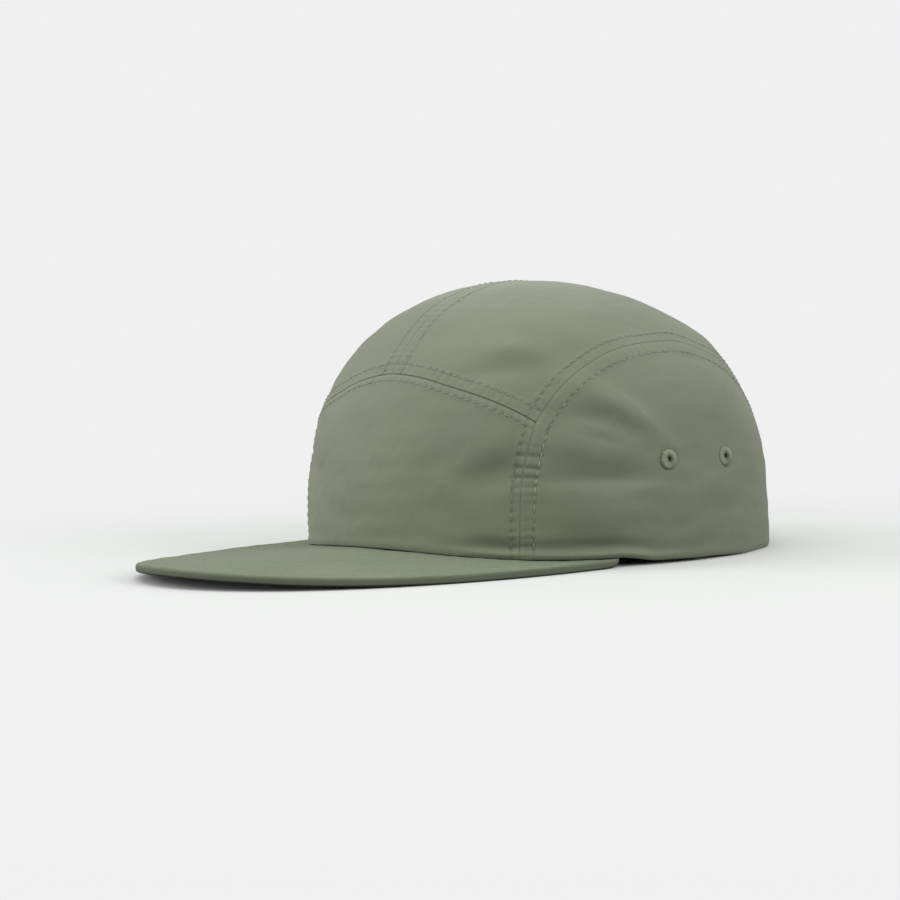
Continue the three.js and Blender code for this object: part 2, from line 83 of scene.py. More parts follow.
# Seams of the wearer's left half: angle from the front, share of the way from the top to the rim
FRONT_SEAM = [(0, 0.58), (11, 0.592), (22, 0.622), (33, 0.661), (42.6, 0.708)]
SIDE_SEAM = [(42.6, 0.708), (40.6, 0.77), (39.2, 0.835), (38.7, 0.915), (38.5, 1)]
SIDE_ARCH = [
    (42.6, 0.708), (48.8, 0.636), (58.5, 0.575), (69.5, 0.54), (82, 0.524), (95, 0.524), (107, 0.548),
    (117.5, 0.578), (127.5, 0.619), (136.5, 0.67), (143.5, 0.735), (148, 0.815), (150.3, 0.905), (151, 1),
]
ARCH_TURN_ROW = 8
BACK_FOOT = SIDE_ARCH[-1][0]
FRONT_FOOT = SIDE_SEAM[-1][0]

# Soft folds: angle and share of the middle, turn of the line from level, half length and half width as
# shares of the crown's height, rise as a share of the fold depth
FOLDS = [
    (21, 0.79, 36, 0.09, 0.05, -0.45),
    (32.8, 0.815, 16, 0.11, 0.048, -0.95),
    (34, 0.755, 18, 0.08, 0.045, 0.3),
    (63.4, 0.685, -32, 0.17, 0.042, 0.85),
    (55, 0.705, -9, 0.11, 0.042, -0.7),
    (56, 0.76, -6, 0.13, 0.07, 0.65),
    (57, 0.825, -1, 0.19, 0.046, -0.7),
    (57, 0.95, -2, 0.2, 0.05, -0.75),
    (94, 0.845, 14, 0.22, 0.06, 0.4),
    (38, 0.525, -3, 0.1, 0.04, 0.6),
    (35, 0.58, 1, 0.12, 0.042, -0.6),
    (69, 0.43, -25, 0.1, 0.05, 0.4),
    (-30, 0.81, -20, 0.12, 0.05, -0.7),
    (-62, 0.74, 24, 0.2, 0.045, -0.75),
    (-66, 0.84, 2, 0.22, 0.045, 0.65),
    (-104, 0.86, -10, 0.24, 0.055, -0.5),
    (152, 0.55, 22, 0.2, 0.055, -0.55),
    (-150, 0.5, -25, 0.2, 0.06, -0.5),
]

# Camera of the photograph
CAMERA_AZIMUTH = 45.92
CAMERA_ELEVATION = 1.86
CAMERA_DISTANCE = 679.15
CAMERA_FOCAL_PIXELS = 1683.99
CAMERA_AIM_RIGHT = -35.58
CAMERA_AIM_HEIGHT = 39.71
CAMERA_ROLL = -0.97
PHOTO_PIXELS = 900
SENSOR_MM = 36

TINY = 1e-12
PER_METRE = 1000

rng = np.random.default_rng(5)

peak_low, peak_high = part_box("peak")
SHIFT = np.array([
    (peak_low.x + peak_high.x) / 2 * PER_METRE,
    peak_low.y * PER_METRE + CROWN_FRONT_REACH + PEAK_LENGTH,
    0.0,
])


def row_frame(points):
    """Points in millimetres in the cap's own frame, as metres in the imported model's frame."""
    return (np.asarray(points, float) + SHIFT) / PER_METRE


def unit(vectors):
    return vectors / np.maximum(np.linalg.norm(vectors, axis=-1, keepdims=True), TINY)


def smooth(t):
    """Soft step from 0 to 1."""
    t = np.clip(t, 0, 1)
    return t * t * (3 - 2 * t)


def bump(t):
    """Soft hill of height 1."""
    return np.exp(-t * t)


def rounding(distance, radius):
    """Fall of a rounded edge, from one at the edge itself to none at the radius."""
    t = np.clip(1 - distance / radius, 0, 1)
    return 1 - np.sqrt(1 - t * t)


def arcs(points):
    """Length of a line up to each of its points."""
    return np.concatenate([[0], np.cumsum(np.linalg.norm(np.diff(points, axis=0), axis=1))])


def picked(at, arc, values):
    """A line's values at these places along it."""
    return np.stack([np.interp(at, arc, column) for column in values.T], -1)


# The crown's surface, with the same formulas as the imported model

CROWN_ROUNDS = 7
HALVINGS = 30
LEAST_SINE = 1e-9
RIM_SHARE = 0.999

ROOT_SHARE = 1 - (PEAK_ROOT_FORWARD / CROWN_FRONT_REACH) ** RIM_FULLNESS
PEAK_HALF_WIDTH = CROWN_HALF_WIDTH * ROOT_SHARE ** (1 / RIM_FULLNESS) + PEAK_OVERHANG
PEAK_END_ANGLE = math.degrees(math.atan2(PEAK_HALF_WIDTH, PEAK_ROOT_FORWARD))
SEAT_LIFT = PEAK_THICKNESS + GAP


def table_value(rows, place):
    keys, values = np.array(rows, float).T
    k = np.clip(np.searchsorted(keys, place, side="right") - 1, 0, len(rows) - 2)
    return values[k] + (values[k + 1] - values[k]) * smooth((place - keys[k]) / (keys[k + 1] - keys[k]))


def peak_lift(x):
    t = np.minimum(1, np.abs(x) / (PEAK_HALF_WIDTH - PEAK_FLAT_STRIP))
    return PEAK_BOW * np.maximum(0, np.cos(t * np.pi / 2)) ** PEAK_BOW_POWER


def rim_points(angle):
    """Rim of the crown at angles in degrees from the front."""
    side, ahead = np.sin(np.radians(angle)), np.cos(np.radians(angle))
    reach = np.where(ahead > 0, CROWN_FRONT_REACH, CROWN_BACK_REACH)
    across = np.abs(side / CROWN_HALF_WIDTH) ** RIM_FULLNESS
    along = np.abs(ahead / reach) ** RIM_FULLNESS
    radius = (across + along) ** (-1 / RIM_FULLNESS)
    x = radius * side
    past = np.degrees(np.arccos(np.clip(ahead, -1, 1))) - PEAK_END_ANGLE
    fall = SEAT_LIFT * table_value(RIM_FALL, np.maximum(past, 0))
    return np.stack([x, -radius * ahead, np.where(past < 0, SEAT_LIFT + peak_lift(x), fall)], -1)


def plain_crown(disc):
    """Crown without folds at disc points (to the left, to the back; the rim is the unit circle)."""
    disc = np.asarray(disc, float)
    share = np.hypot(disc[..., 0], disc[..., 1])
    angle = np.arctan2(disc[..., 0], -disc[..., 1])
    front, back = np.maximum(np.cos(angle), 0) ** 2, np.maximum(-np.cos(angle), 0) ** 2
    rest = 1 - front - back
    n, m = (front * f["front"] + back * f["back"] + rest * f["side"] for f in (FULLNESS_OUT, FULLNESS_UP))
    s = np.maximum(np.sin(share * np.pi / 2), LEAST_SINE)
    c = np.maximum(np.cos(share * np.pi / 2), LEAST_SINE)
    scale = np.ones_like(share)
    for _ in range(CROWN_ROUNDS):
        a, b = (scale * s) ** n, (scale * c) ** m
        scale = scale - (a + b - 1) * scale / (n * a + m * b)
    rim = rim_points(np.degrees(angle))
    out, up = scale * s, scale * c
    y = -CROWN_TOP_FORWARD + (rim[..., 1] + CROWN_TOP_FORWARD) * out
    z = rim[..., 2] + (CROWN_HEIGHT - rim[..., 2]) * up
    return np.stack([rim[..., 0] * out, y, z], -1)


def slopes(disc, step=1e-3):
    """Change of the crown's point along both directions of the disc."""
    disc = np.asarray(disc, float)
    share = np.hypot(disc[..., 0], disc[..., 1])
    inside = disc * np.minimum(1, (1 - step) / np.maximum(share, step))[..., None]
    return [(plain_crown(inside + d) - plain_crown(inside - d)) / (2 * step)
            for d in (np.array([step, 0]), np.array([0, step]))]


def crown_normal(disc):
    along_u, along_v = slopes(disc)
    normal = np.cross(along_u, along_v)
    on_rim = np.hypot(disc[..., 0], disc[..., 1]) > RIM_SHARE
    normal[..., 2] = np.where(on_rim, 0, normal[..., 2])
    return unit(normal)


def disc_point(angle, share):
    angle = np.radians(angle)
    return np.stack([share * np.sin(angle), -share * np.cos(angle)], -1)


def disc_at_height(angle, height):
    """Disc points at these heights over the rim."""
    angle, height = np.broadcast_arrays(np.asarray(angle, float), np.asarray(height, float))
    low, high = np.zeros(angle.shape), np.ones(angle.shape)
    top = rim_points(angle)[..., 2] + height
    for _ in range(HALVINGS):
        share = (low + high) / 2
        above = plain_crown(disc_point(angle, share))[..., 2] > top
        low, high = np.where(above, share, low), np.where(above, high, share)
    return disc_point(angle, np.where(height > 0, high, 1.0))


def fold_frame(angle, share, turn):
    """Middle of a fold, and its directions out of the crown, along the fold and across it."""
    disc = disc_point(angle, share)
    normal = crown_normal(disc)
    level = unit(np.cross([0, 0, 1], normal))
    t = math.radians(turn)
    line = level * math.cos(t) + np.cross(normal, level) * math.sin(t)
    return plain_crown(disc), normal, line, np.cross(normal, line)


def folds_at(points):
    """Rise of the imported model's soft folds."""
    rise = np.zeros(points.shape[:-1])
    for angle, share, turn, *size in FOLDS:
        middle, normal, line, across = fold_frame(angle, share, turn)
        away = points - middle
        length, width, height = size[0] * CROWN_HEIGHT, size[1] * CROWN_HEIGHT, size[2] * FOLD_DEPTH
        rise += (height * bump(away @ line / length) * bump(away @ across / width)
                 * bump(away @ normal / length))
    return rise


# Sharp creases: angle and share of the middle, turn, half length in shares of the crown's height, reach of
# the cloth above and below in millimetres, rise in millimetres
CREASES = [
    (57, 0.834, -1, 0.18, 6.0, 1.5, -1.0),
    (57, 0.85, -1, 0.17, 2.0, 5.0, 0.4),
    (46.5, 0.8, 0, 0.05, 5.0, 4.0, -0.3),
    (33.5, 0.84, 10, 0.07, 5.0, 3.0, -0.5),
    (51, 0.79, 6, 0.05, 5.0, 2.5, -0.3),
    (57, 0.724, -16, 0.08, 2.6, 1.8, 0.42),
    (58, 0.748, -16, 0.08, 2.2, 2.6, -0.55),
    (67.5, 0.685, -41, 0.12, 2.2, 3.4, 0.8),
    (74, 0.465, -18, 0.1, 5.0, 4.0, -0.35),
    (-58, 0.835, 4, 0.16, 7.0, 3.2, -0.6),
    (-72, 0.69, 36, 0.12, 3.0, 5.0, 0.3),
    (98, 0.9, -4, 0.15, 6.0, 3.5, -0.4),
    (124, 0.8, 20, 0.1, 4.0, 5.0, -0.3),
    (166, 0.72, 40, 0.12, 4.0, 4.0, -0.3),
]
CREASE_ROUND = 0.7


def creases_at(points):
    rise = np.zeros(points.shape[:-1])
    for angle, share, turn, half, above, below, height in CREASES:
        middle, normal, line, across = fold_frame(angle, share, turn)
        away = points - middle
        x = away @ across
        drop = (np.sqrt(x * x + CREASE_ROUND ** 2) - CREASE_ROUND) / np.where(x > 0, above, below)
        length = half * CROWN_HEIGHT
        rise += height * np.exp(-drop) * bump(away @ line / length) * bump(away @ normal / length)
    return rise


RIPPLE_WAVES = 28
RIPPLE_SPREAD = (0.6, 1.4)


def ripple(points, wave, seed, stretch=(1, 1, 1)):
    """Smooth unrest of about unit height with waves of about that length, in millimetres."""
    dice = np.random.default_rng(seed)
    turns = unit(dice.normal(size=(RIPPLE_WAVES, 3))) * np.array(stretch) * (2 * np.pi / wave)
    turns *= dice.uniform(*RIPPLE_SPREAD, (RIPPLE_WAVES, 1))
    phases = dice.uniform(0, 2 * np.pi, RIPPLE_WAVES)
    waves = np.sin(points.reshape(-1, 3) @ turns.T + phases)
    return waves.sum(1).reshape(points.shape[:-1]) / (RIPPLE_WAVES / 2) ** 0.5


# Seams

SEAM_STEP = 0.5
LEAST_STEPS = 8
BATCH = 8000


def spline(rows, first=0, last=None, count=400):
    """Disc points along the table's rows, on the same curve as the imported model's seams."""
    p = disc_point(*np.array(rows, float).T)
    last = len(rows) - 1 if last is None else last
    t = np.linspace(first, last, count)
    k = np.minimum(t.astype(int), len(rows) - 2)
    w = (t - k)[:, None]
    before, after = p[np.maximum(k - 1, 0)], p[np.minimum(k + 2, len(rows) - 1)]
    here, there = p[k], p[k + 1]
    # The last stretch of the model's own curve ends on its last point twice
    a, b = (there - before) / 2, (after - here) / 2
    ahead = there - here
    return (a + b - 2 * ahead) * w ** 3 + (3 * ahead - 2 * a - b) * w ** 2 + a * w + here


def flip(disc):
    """The same places on the other side of the cap."""
    return disc * np.array([-1, 1])


def along_crown(disc, shares):
    """Disc points at these shares of a line's length on the crown."""
    arc = arcs(plain_crown(disc))
    return picked(shares * arc[-1], arc, disc)


OPENING_HALF_ANGLE = math.degrees(math.asin(OPENING_WIDTH / 2 / CROWN_BACK_REACH))
quarter = np.linspace(0, np.pi / 2, 200)
opening_half = disc_at_height(180 - OPENING_HALF_ANGLE * np.sin(quarter), OPENING_HEIGHT * np.cos(quarter))
opening_half[-1] = disc_point(180 - OPENING_HALF_ANGLE, 1.0)
front_half = spline(FRONT_SEAM)
side_line = spline(SIDE_SEAM)[::-1]
arch_turn = spline(SIDE_ARCH, 0, ARCH_TURN_ROW, 800)
arch_leg = spline(SIDE_ARCH, ARCH_TURN_ROW, None, 500)
centre_line = front_half[0] + (opening_half[0] - front_half[0]) * np.linspace(0, 1, 400)[:, None]

lines = {
    "front": np.concatenate([flip(front_half)[::-1], front_half[1:]]),
    "centre": centre_line,
    "opening": np.concatenate([flip(opening_half)[::-1], opening_half[1:]]),
    "side_left": side_line,
    "arch_left": spline(SIDE_ARCH, count=1200),
}
lines["side_right"] = flip(lines["side_left"])
lines["arch_right"] = flip(lines["arch_left"])


class Seam:
    """A seam as points at equal steps along the crown."""

    def __init__(self, disc):
        length = arcs(plain_crown(disc))[-1]
        self.disc = along_crown(disc, np.linspace(0, 1, max(int(length / SEAM_STEP), LEAST_STEPS) + 1))
        self.points = plain_crown(self.disc)
        self.arc = arcs(self.points)
        self.tangent = unit(np.gradient(self.points, axis=0))
        self.length = self.arc[-1]

    def beside(self, points):
        """Distance from the seam, place along it and reach past its ends, for each point."""
        flat = points.reshape(-1, 3)
        found = np.empty((3, len(flat)))
        own = (self.points ** 2).sum(1)
        last = len(self.points) - 1
        for start in range(0, len(flat), BATCH):
            part = flat[start:start + BATCH]
            k = np.argmin(own[None] - 2 * part @ self.points.T, axis=1)
            away = part - self.points[k]
            ahead = (away * self.tangent[k]).sum(1)
            past = np.where(k == 0, -ahead, np.where(k == last, ahead, 0))
            ahead = np.clip(ahead, -1, 1)
            distance = np.linalg.norm(away - ahead[:, None] * self.tangent[k], axis=1)
            found[:, start:start + BATCH] = distance, self.arc[k] + ahead, past
        return found.reshape(3, *points.shape[:-1])


seams = {name: Seam(disc) for name, disc in lines.items()}

# Rows of stitches: seam, side of it, distance in millimetres. Side +1 is to the left of the seam's
# direction as seen from outside
PITCH = 3.3
ROWS = {
    "front_panel": [("front", -1, 2.8), ("side_left", 1, 3.0), ("side_right", -1, 3.0)],
    "side_panel_left": [("side_left", -1, 5.0), ("arch_left", -1, 5.0)],
    "side_panel_right": [("side_right", 1, 5.0), ("arch_right", 1, 5.0)],
    "top_panel_left": [
        ("front", 1, 4.5), ("centre", -1, 5.0), ("arch_left", 1, 4.0), ("opening", -1, 5.0),
    ],
    "top_panel_right": [
        ("front", 1, 4.5), ("centre", 1, 5.0), ("arch_right", -1, 4.0), ("opening", -1, 5.0),
    ],
}

# How dark the painted shade of each seam's own line is, how deep the line is, and how dark the painted shade
# of its rows of needle holes is
SEAM_LINES = {
    "front": (0.75, 0.4, 0.25), "centre": (0.1, 0.15, 0.25), "opening": (0.2, 0.3, 0.2),
    "side_left": (0.15, 0.15, 0.25), "side_right": (0.15, 0.15, 0.25),
    "arch_left": (0.15, 0.2, 0.45), "arch_right": (0.15, 0.2, 0.45),
}

# Puckers drawn up by the stitches: seam, place along it, half length, height in millimetres
PUCKERS = [
    ("side_left", 33, 7, 0.3),
    ("side_left", 12, 14, 0.1),
    ("side_right", 32, 9, 0.25),
    ("front", 90, 22, 0.08),
    ("centre", 20, 25, 0.1),
    ("arch_left", 110, 30, 0.08),
    ("arch_right", 90, 30, 0.1),
]
PUCKER_BASE = 0.05

# Relief of the cloth

# Unrest all over the crown: height, length of its waves, seed, stretch along the three axes
UNREST = [(0.25, 34, 11, (1, 1, 1)), (0.07, 13, 12, (0.6, 0.6, 1.4)), (0.02, 6, 13, (1, 1, 1))]

# Beside a seam the cloth lies double: its rise, how far it goes past the row, and the width of its slope
SEAM_LAP = 0.17
LAP_PAST_ROW = 1.9
LAP_SLOPE = 1.5
# Half width of the seam's ditch, and the dip that it lies in as a hill's height, middle and half width
DITCH_REACH = 0.45
SEAM_DIP = (0.08, 0, 1.1)
# Depth and half width of a row's groove and of its needle holes, and how dark the painted shade in a hole is
ROW_DEPTH = 0.1
ROW_REACH = 0.45
HOLE_DEPTH = 0.12
HOLE_REACH = 0.5
HOLE_DARK = 0.35
# Half width of the painted shade line in the ditch, and the paler band painted beside it: tone, place, half
# width
LINE_REACH = 0.35
PALER_BESIDE_SEAM = (0.15, 1.0, 0.5)
# Past a seam's end a row's marks stay for a little and then fade
ROW_PAST_END = 0.3
END_FADE = 0.8
# The draw of each stitch: how it leans and wanders, how uneven it is, its rise, its ditch and the painted
# shade in that ditch
DRAW_LEAN = 0.12
DRAW_WANDER = (0.5, 12, 21)
DRAW_UNEVEN = (0.45, 14, 22)
DRAW_RISE = 0.4
DRAW_DITCH = (1.4, 0, 0.6)
DRAW_SHADE = (0.9, 0, 0.45)
DRAW_START = 0.8
DRAW_PAST_ROW = 0.9

# Fine relief deeper than this is eased, and goes no further than the spare depth below it
DETAIL_EASED = -0.9
DETAIL_SPARE = 0.45
# Least thickness of cloth that a deep crease leaves
LEAST_WALL = 0.3

# Where the sweatband's seam draws the cloth in above the rim: everywhere, and more at angle, half width, by
RIM_DRAWN = 0.05
RIM_FOLDS = [(54, 17, 1.1), (33, 6, 0.6), (-60, 24, 0.8)]
# Height above the rim and reach of the roll under that line, of the line itself and of the painted shade over
# it
ROLL = (1.5, 1.0)
ROLL_RISE = 0.5
DRAWN_LINE = 3.8
DRAWN_ABOVE = 3.6
DRAWN_BELOW = 1.2
SHADE = (5.6, 2.0)
SHADE_DARK = 0.85
# The rim's hem turns in: by how much, and from what height
HEM_TURN = 0.85
HEM_HEIGHT = 3.2

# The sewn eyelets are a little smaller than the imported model's, as in the photograph
SEWN_RADIUS = 3.5
EYELETS = {
    "front": -EYELET_PAIR_FORWARD - EYELET_SPACING / 2,
    "back": -EYELET_PAIR_FORWARD + EYELET_SPACING / 2,
}
EYELET_ROUNDS = 12
# Round each eyelet the cloth dips and is painted with shade: how much, how far out, half width
EYELET_DIP = (0.28, 0.3, 0.9)
EYELET_SHADE = (0.9, 0.1, 0.45)


def hill(values, size):
    """Soft hill over values: its height, middle and half width are given."""
    height, middle, half = size
    return height * bump((values - middle) / half)


def eyelet_pose(back, side):
    """Middle and outward direction of an eyelet, in the middle of the cloth."""
    angle = 90.0
    for _ in range(EYELET_ROUNDS):
        disc = disc_at_height(angle, EYELET_HEIGHT_ABOVE_FLOOR - rim_points(angle)[2])
        angle += math.degrees((back - plain_crown(disc)[1]) / CROWN_HALF_WIDTH)
    disc = disc * np.array([side, 1])
    normal = crown_normal(disc)
    plain = plain_crown(disc)
    return plain + normal * (folds_at(plain) - CLOTH_WALL / 2), normal


eyelet_poses = {}
for word, side in (("left", 1), ("right", -1)):
    for place, back in EYELETS.items():
        eyelet_poses[f"eyelet_{word}_{place}"] = eyelet_pose(back, side)


def seam_relief(name, row, lean, d, s, past):
    """Height and painted shade at distance d from a seam, place s along it and reach past its ends."""
    line_dark, line_deep, row_dark = SEAM_LINES[name]
    phase = (s / PITCH) % 1
    hole = bump(np.minimum(phase, 1 - phase) * PITCH / HOLE_REACH)
    in_row = bump((d - row) / ROW_REACH) * (1 - smooth((past - ROW_PAST_END) / END_FADE))
    place = s[..., None] * np.array([1, 0, 0])
    wander, uneven = (size * ripple(place, wave, seed) for size, wave, seed in (DRAW_WANDER, DRAW_UNEVEN))
    draw = ((s + wander + lean * d) / PITCH) % 1
    draw = np.minimum(draw, 1 - draw) * PITCH
    reach = smooth(d / DRAW_START) * np.where(d < row, 1, bump((d - row) / DRAW_PAST_ROW))
    pull = PUCKER_BASE + sum(hill(s, (h, at, half)) for seam, at, half, h in PUCKERS if seam == name)
    pull = pull * (1 + uneven) * reach * (1 - smooth(past / END_FADE))
    height = pull * (DRAW_RISE - hill(draw, DRAW_DITCH))
    height -= line_deep * rounding(d, DITCH_REACH) + hill(d, SEAM_DIP)
    height -= (ROW_DEPTH + HOLE_DEPTH * hole) * in_row
    # Painted shade in the stitches' ditches, in the seam's ditch and in the needle holes, less a paler band
    # beside the seam
    crease_shade = pull * hill(draw, DRAW_SHADE) + line_dark * bump(d / LINE_REACH)
    crease_shade += (row_dark + HOLE_DARK * hole) * in_row - hill(d, PALER_BESIDE_SEAM)
    return height, crease_shade


def rim_relief(points, disc):
    """Height of the hem and of the drawn-in line over it, and the painted shade over that line."""
    angle = np.degrees(np.arctan2(disc[..., 0], -disc[..., 1]))
    d = points[..., 2] - rim_points(angle)[..., 2]
    drawn = RIM_DRAWN + sum(hill(angle, (h, place, half)) for place, half, h in RIM_FOLDS)
    line = bump((d - DRAWN_LINE) / np.where(d > DRAWN_LINE, DRAWN_ABOVE, DRAWN_BELOW))
    height = drawn * (hill(d, (ROLL_RISE, *ROLL)) - line) - HEM_TURN * rounding(d, HEM_HEIGHT)
    return height, drawn * hill(d, (SHADE_DARK, *SHADE))


def eyelet_relief(points, panel):
    """Height of a side panel's cloth round its eyelets, and the painted shade there."""
    centres = [pose[0] for name, pose in eyelet_poses.items() if panel == "side_panel_" + name.split("_")[1]]
    away = [np.linalg.norm(points - centre, axis=-1) - SEWN_RADIUS for centre in centres]
    return -sum(hill(d, EYELET_DIP) for d in away), sum(hill(d, EYELET_SHADE) for d in away)


def crown_relief(points, disc, panel):
    """Height over the plain crown, and painted shade: 1 where a crease, ditch or hole is painted darkest, -1
    where a band beside a seam is painted paler.
    """
    unrest = sum(h * ripple(points, wave, seed, stretch) for h, wave, seed, stretch in UNREST)
    reliefs = [(creases_at(points) + unrest, 0), rim_relief(points, disc), eyelet_relief(points, panel)]
    lapped = np.zeros(points.shape[:-1])
    lean = DRAW_LEAN if panel == "front_panel" else -DRAW_LEAN
    for name, _, row in ROWS[panel]:
        beside = seams[name].beside(points)
        lapped = np.maximum(lapped, smooth((row + LAP_PAST_ROW - beside[0]) / LAP_SLOPE))
        reliefs.append(seam_relief(name, row, lean, *beside))
    height, crease_shade = (sum(values) for values in zip(*reliefs))
    height = height + SEAM_LAP * lapped
    deep = np.maximum(DETAIL_EASED - height, 0)
    height = np.maximum(height, DETAIL_EASED) - DETAIL_SPARE * np.tanh(deep / DETAIL_SPARE)
    return folds_at(points) + height, np.clip(crease_shade, -1, 1)


# Materials

# Noise over the cloth: scale, detail
PATCHES = (28.0, 3.0)
FLECKS = (900.0, 2.0)
HUES = (17.0, 2.0)
GRAIN = (420.0, 3.0)
GRAIN_RISE = 1.6
HUE_TURN = 0.07
# How much the painted shade in creases, ditches and holes darkens the colour
CREASE_DARK = 0.45
ROUGH_SPREAD = 0.12
WEAVE_UNEVEN = 0.15
# Length of one wave of a band texture at scale 1
BAND_LENGTH = 2 * math.pi / 20


def new_material(name):
    material = bpy.data.materials.new(name)
    material.use_nodes = True
    return material, material.node_tree, material.node_tree.nodes["Principled BSDF"]


def set_sockets(tree, made, sockets):
    """Gives a node's sockets numbers and colours, or other nodes' outputs."""
    for name, value in sockets.items():
        if isinstance(value, bpy.types.NodeSocket):
            tree.links.new(value, made.inputs[name])
        else:
            made.inputs[name].default_value = value


def node(tree, kind, sockets, **settings):
    made = tree.nodes.new("ShaderNode" + kind)
    for name, value in settings.items():
        setattr(made, name, value)
    set_sockets(tree, made, sockets)
    return made


def calculated(tree, operation, *values):
    """Result of a sum over numbers and other nodes' outputs."""
    return node(tree, "Math", dict(enumerate(values)), operation=operation).outputs[0]


def noise(tree, place, scale, detail):
    return node(tree, "TexNoise", {"Vector": place, "Scale": scale, "Detail": detail}).outputs["Fac"]


def raised(tree, height, strength, distance):
    """Direction of the surface with this relief on it."""
    return node(tree, "Bump", {"Height": height, "Strength": strength, "Distance": distance}).outputs[0]


def cloth_tint(tree, place, patches, colour, mottle):
    """Colour with soft patches and fine flecks, darkened by painted shade in creases, ditches and holes, and
    paler in a band beside the seams.
    """
    shade_and_tone = node(tree, "Attribute", {}, attribute_name="shade_and_tone").outputs["Fac"]
    value = calculated(tree, "MULTIPLY_ADD", patches, 2 * mottle, 1 - mottle)
    fleck = calculated(tree, "MULTIPLY_ADD", noise(tree, place, *FLECKS), mottle, 1 - mottle / 2)
    value = calculated(tree, "MULTIPLY", value, fleck)
    value = calculated(tree, "MULTIPLY", value, calculated(tree, "MULTIPLY_ADD", shade_and_tone, -CREASE_DARK, 1.0))
    hue = node(tree, "Mix", {"Factor": noise(tree, place, *HUES)}, data_type="RGBA")
    for socket, turn in zip([i for i in hue.inputs if i.type == "RGBA"], (-HUE_TURN, HUE_TURN)):
        socket.default_value = (colour[0] * (1 - turn), colour[1], colour[2] * (1 - turn), 1)
    return node(tree, "VectorMath", {0: hue.outputs[2], "Scale": value}, operation="SCALE").outputs[0]


def weave_height(tree, weave):
    """Two sets of threads that cross, over the place on the cloth in millimetres."""
    place = node(tree, "UVMap", {}, uv_map="cloth").outputs[0]
    wave = {"Vector": place, "Scale": BAND_LENGTH / weave, "Distortion": WEAVE_UNEVEN, "Detail": 1.0}
    waves = [node(tree, "TexWave", wave, bands_direction=way).outputs["Fac"] for way in ("X", "Y")]
    return calculated(tree, "MULTIPLY", *(calculated(tree, "SUBTRACT", height, 0.5) for height in waves))


def cloth_material(name, colour, weave, depth, rough, sheen, mottle):
    """Woven cloth: its colour, its roughness and a fine raised weave that is this deep in millimetres."""
    material, tree, shader = new_material(name)
    place = node(tree, "TexCoord", {}).outputs["Object"]
    patches = noise(tree, place, *PATCHES)
    grain = noise(tree, place, *GRAIN)
    height = calculated(tree, "MULTIPLY_ADD", grain, GRAIN_RISE, weave_height(tree, weave))
    set_sockets(tree, shader, {
        "Base Color": cloth_tint(tree, place, patches, colour, mottle),
        "Normal": raised(tree, height, 1.0, depth / PER_METRE),
        "Roughness": calculated(tree, "MULTIPLY_ADD", patches, ROUGH_SPREAD, rough - ROUGH_SPREAD / 2),
        "Sheen Weight": sheen,
        "Sheen Roughness": 0.5,
        "Specular IOR Level": 0.4,
    })
    return material


def buckle_material():
    """Dark coated metal with a fine drawn grain."""
    material, tree, shader = new_material("buckle")
    place = node(tree, "TexCoord", {}).outputs["Object"]
    drawn = node(tree, "Mapping", {"Vector": place, "Scale": (1, 1, 0.08)}).outputs[0]
    grain = noise(tree, drawn, 600.0, 3.0)
    set_sockets(tree, shader, {
        "Base Color": (0.045, 0.047, 0.043, 1),
        "Metallic": 0.75,
        "Normal": raised(tree, grain, 0.4, 0.02 / PER_METRE),
        "Roughness": calculated(tree, "MULTIPLY_ADD", grain, 0.25, 0.3),
    })
    return material


# Cloths: share of the olive, width and depth of the weave's threads in millimetres, roughness, sheen, mottle
OLIVE = np.array([0.207, 0.239, 0.151])
CLOTHS = {
    "crown_cloth": (1, 0.5, 0.03, 0.6, 0.3, 0.08),
    "peak_cloth": (0.97, 0.5, 0.03, 0.75, 0.08, 0.08),
    "band_cloth": (0.7, 0.7, 0.08, 0.8, 0.2, 0.08),
    "webbing": (0.62, 1.1, 0.12, 0.65, 0.3, 0.08),
    # The thread is paler than the cloth: a painted sheen on the raised threads
    "thread": (1.45, 0.35, 0.03, 0.5, 0.3, 0.14),
}
materials = {name: cloth_material(name, share * OLIVE, *more) for name, (share, *more) in CLOTHS.items()}
materials["buckle"] = buckle_material()

# Pieces


def add_piece(piece, slot, node_name=None):
    """Puts a piece into the scene on the cap's one body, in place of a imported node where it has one."""
    bpy.context.scene.collection.objects.link(piece)
    piece.data.materials.clear()
    piece.data.materials.append(materials[slot])
    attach(piece, "root")
    if node_name:
        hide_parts(node_name)


def make_piece(name, points, faces, slot, place, shade_and_tone, node_name=None):
    """A piece from points in millimetres and lists of faces of one size each.

    place is each point's place on the cloth in millimetres, and the last argument how much darker each point
    is painted: painted shade in creases, ditches, holes and under edges, and the threads' own tone.
    """
    mesh = bpy.data.meshes.new(name)
    sizes = np.concatenate([np.full(len(f), f.shape[1]) for f in faces])
    corners = np.concatenate([f.ravel() for f in faces]).astype(np.int32)
    mesh.vertices.add(len(points))
    mesh.vertices.foreach_set("co", row_frame(points).astype(np.float32).ravel())
    mesh.loops.add(len(corners))
    mesh.loops.foreach_set("vertex_index", corners)
    mesh.polygons.add(len(sizes))
    mesh.polygons.foreach_set("loop_start", np.concatenate([[0], np.cumsum(sizes)[:-1]]).astype(np.int32))
    mesh.polygons.foreach_set("use_smooth", np.ones(len(sizes), bool))
    mesh.update(calc_edges=True)
    mesh.validate()
    index = np.empty(len(mesh.loops), np.int32)
    mesh.loops.foreach_get("vertex_index", index)
    mesh.uv_layers.new(name="cloth").data.foreach_set("uv", np.asarray(place, np.float32)[index].ravel())
    shades = mesh.attributes.new("shade_and_tone", "FLOAT", "POINT")
    shades.data.foreach_set("value", np.broadcast_to(shade_and_tone, len(points)).astype(np.float32))
    add_piece(bpy.data.objects.new(name, mesh), slot, node_name)


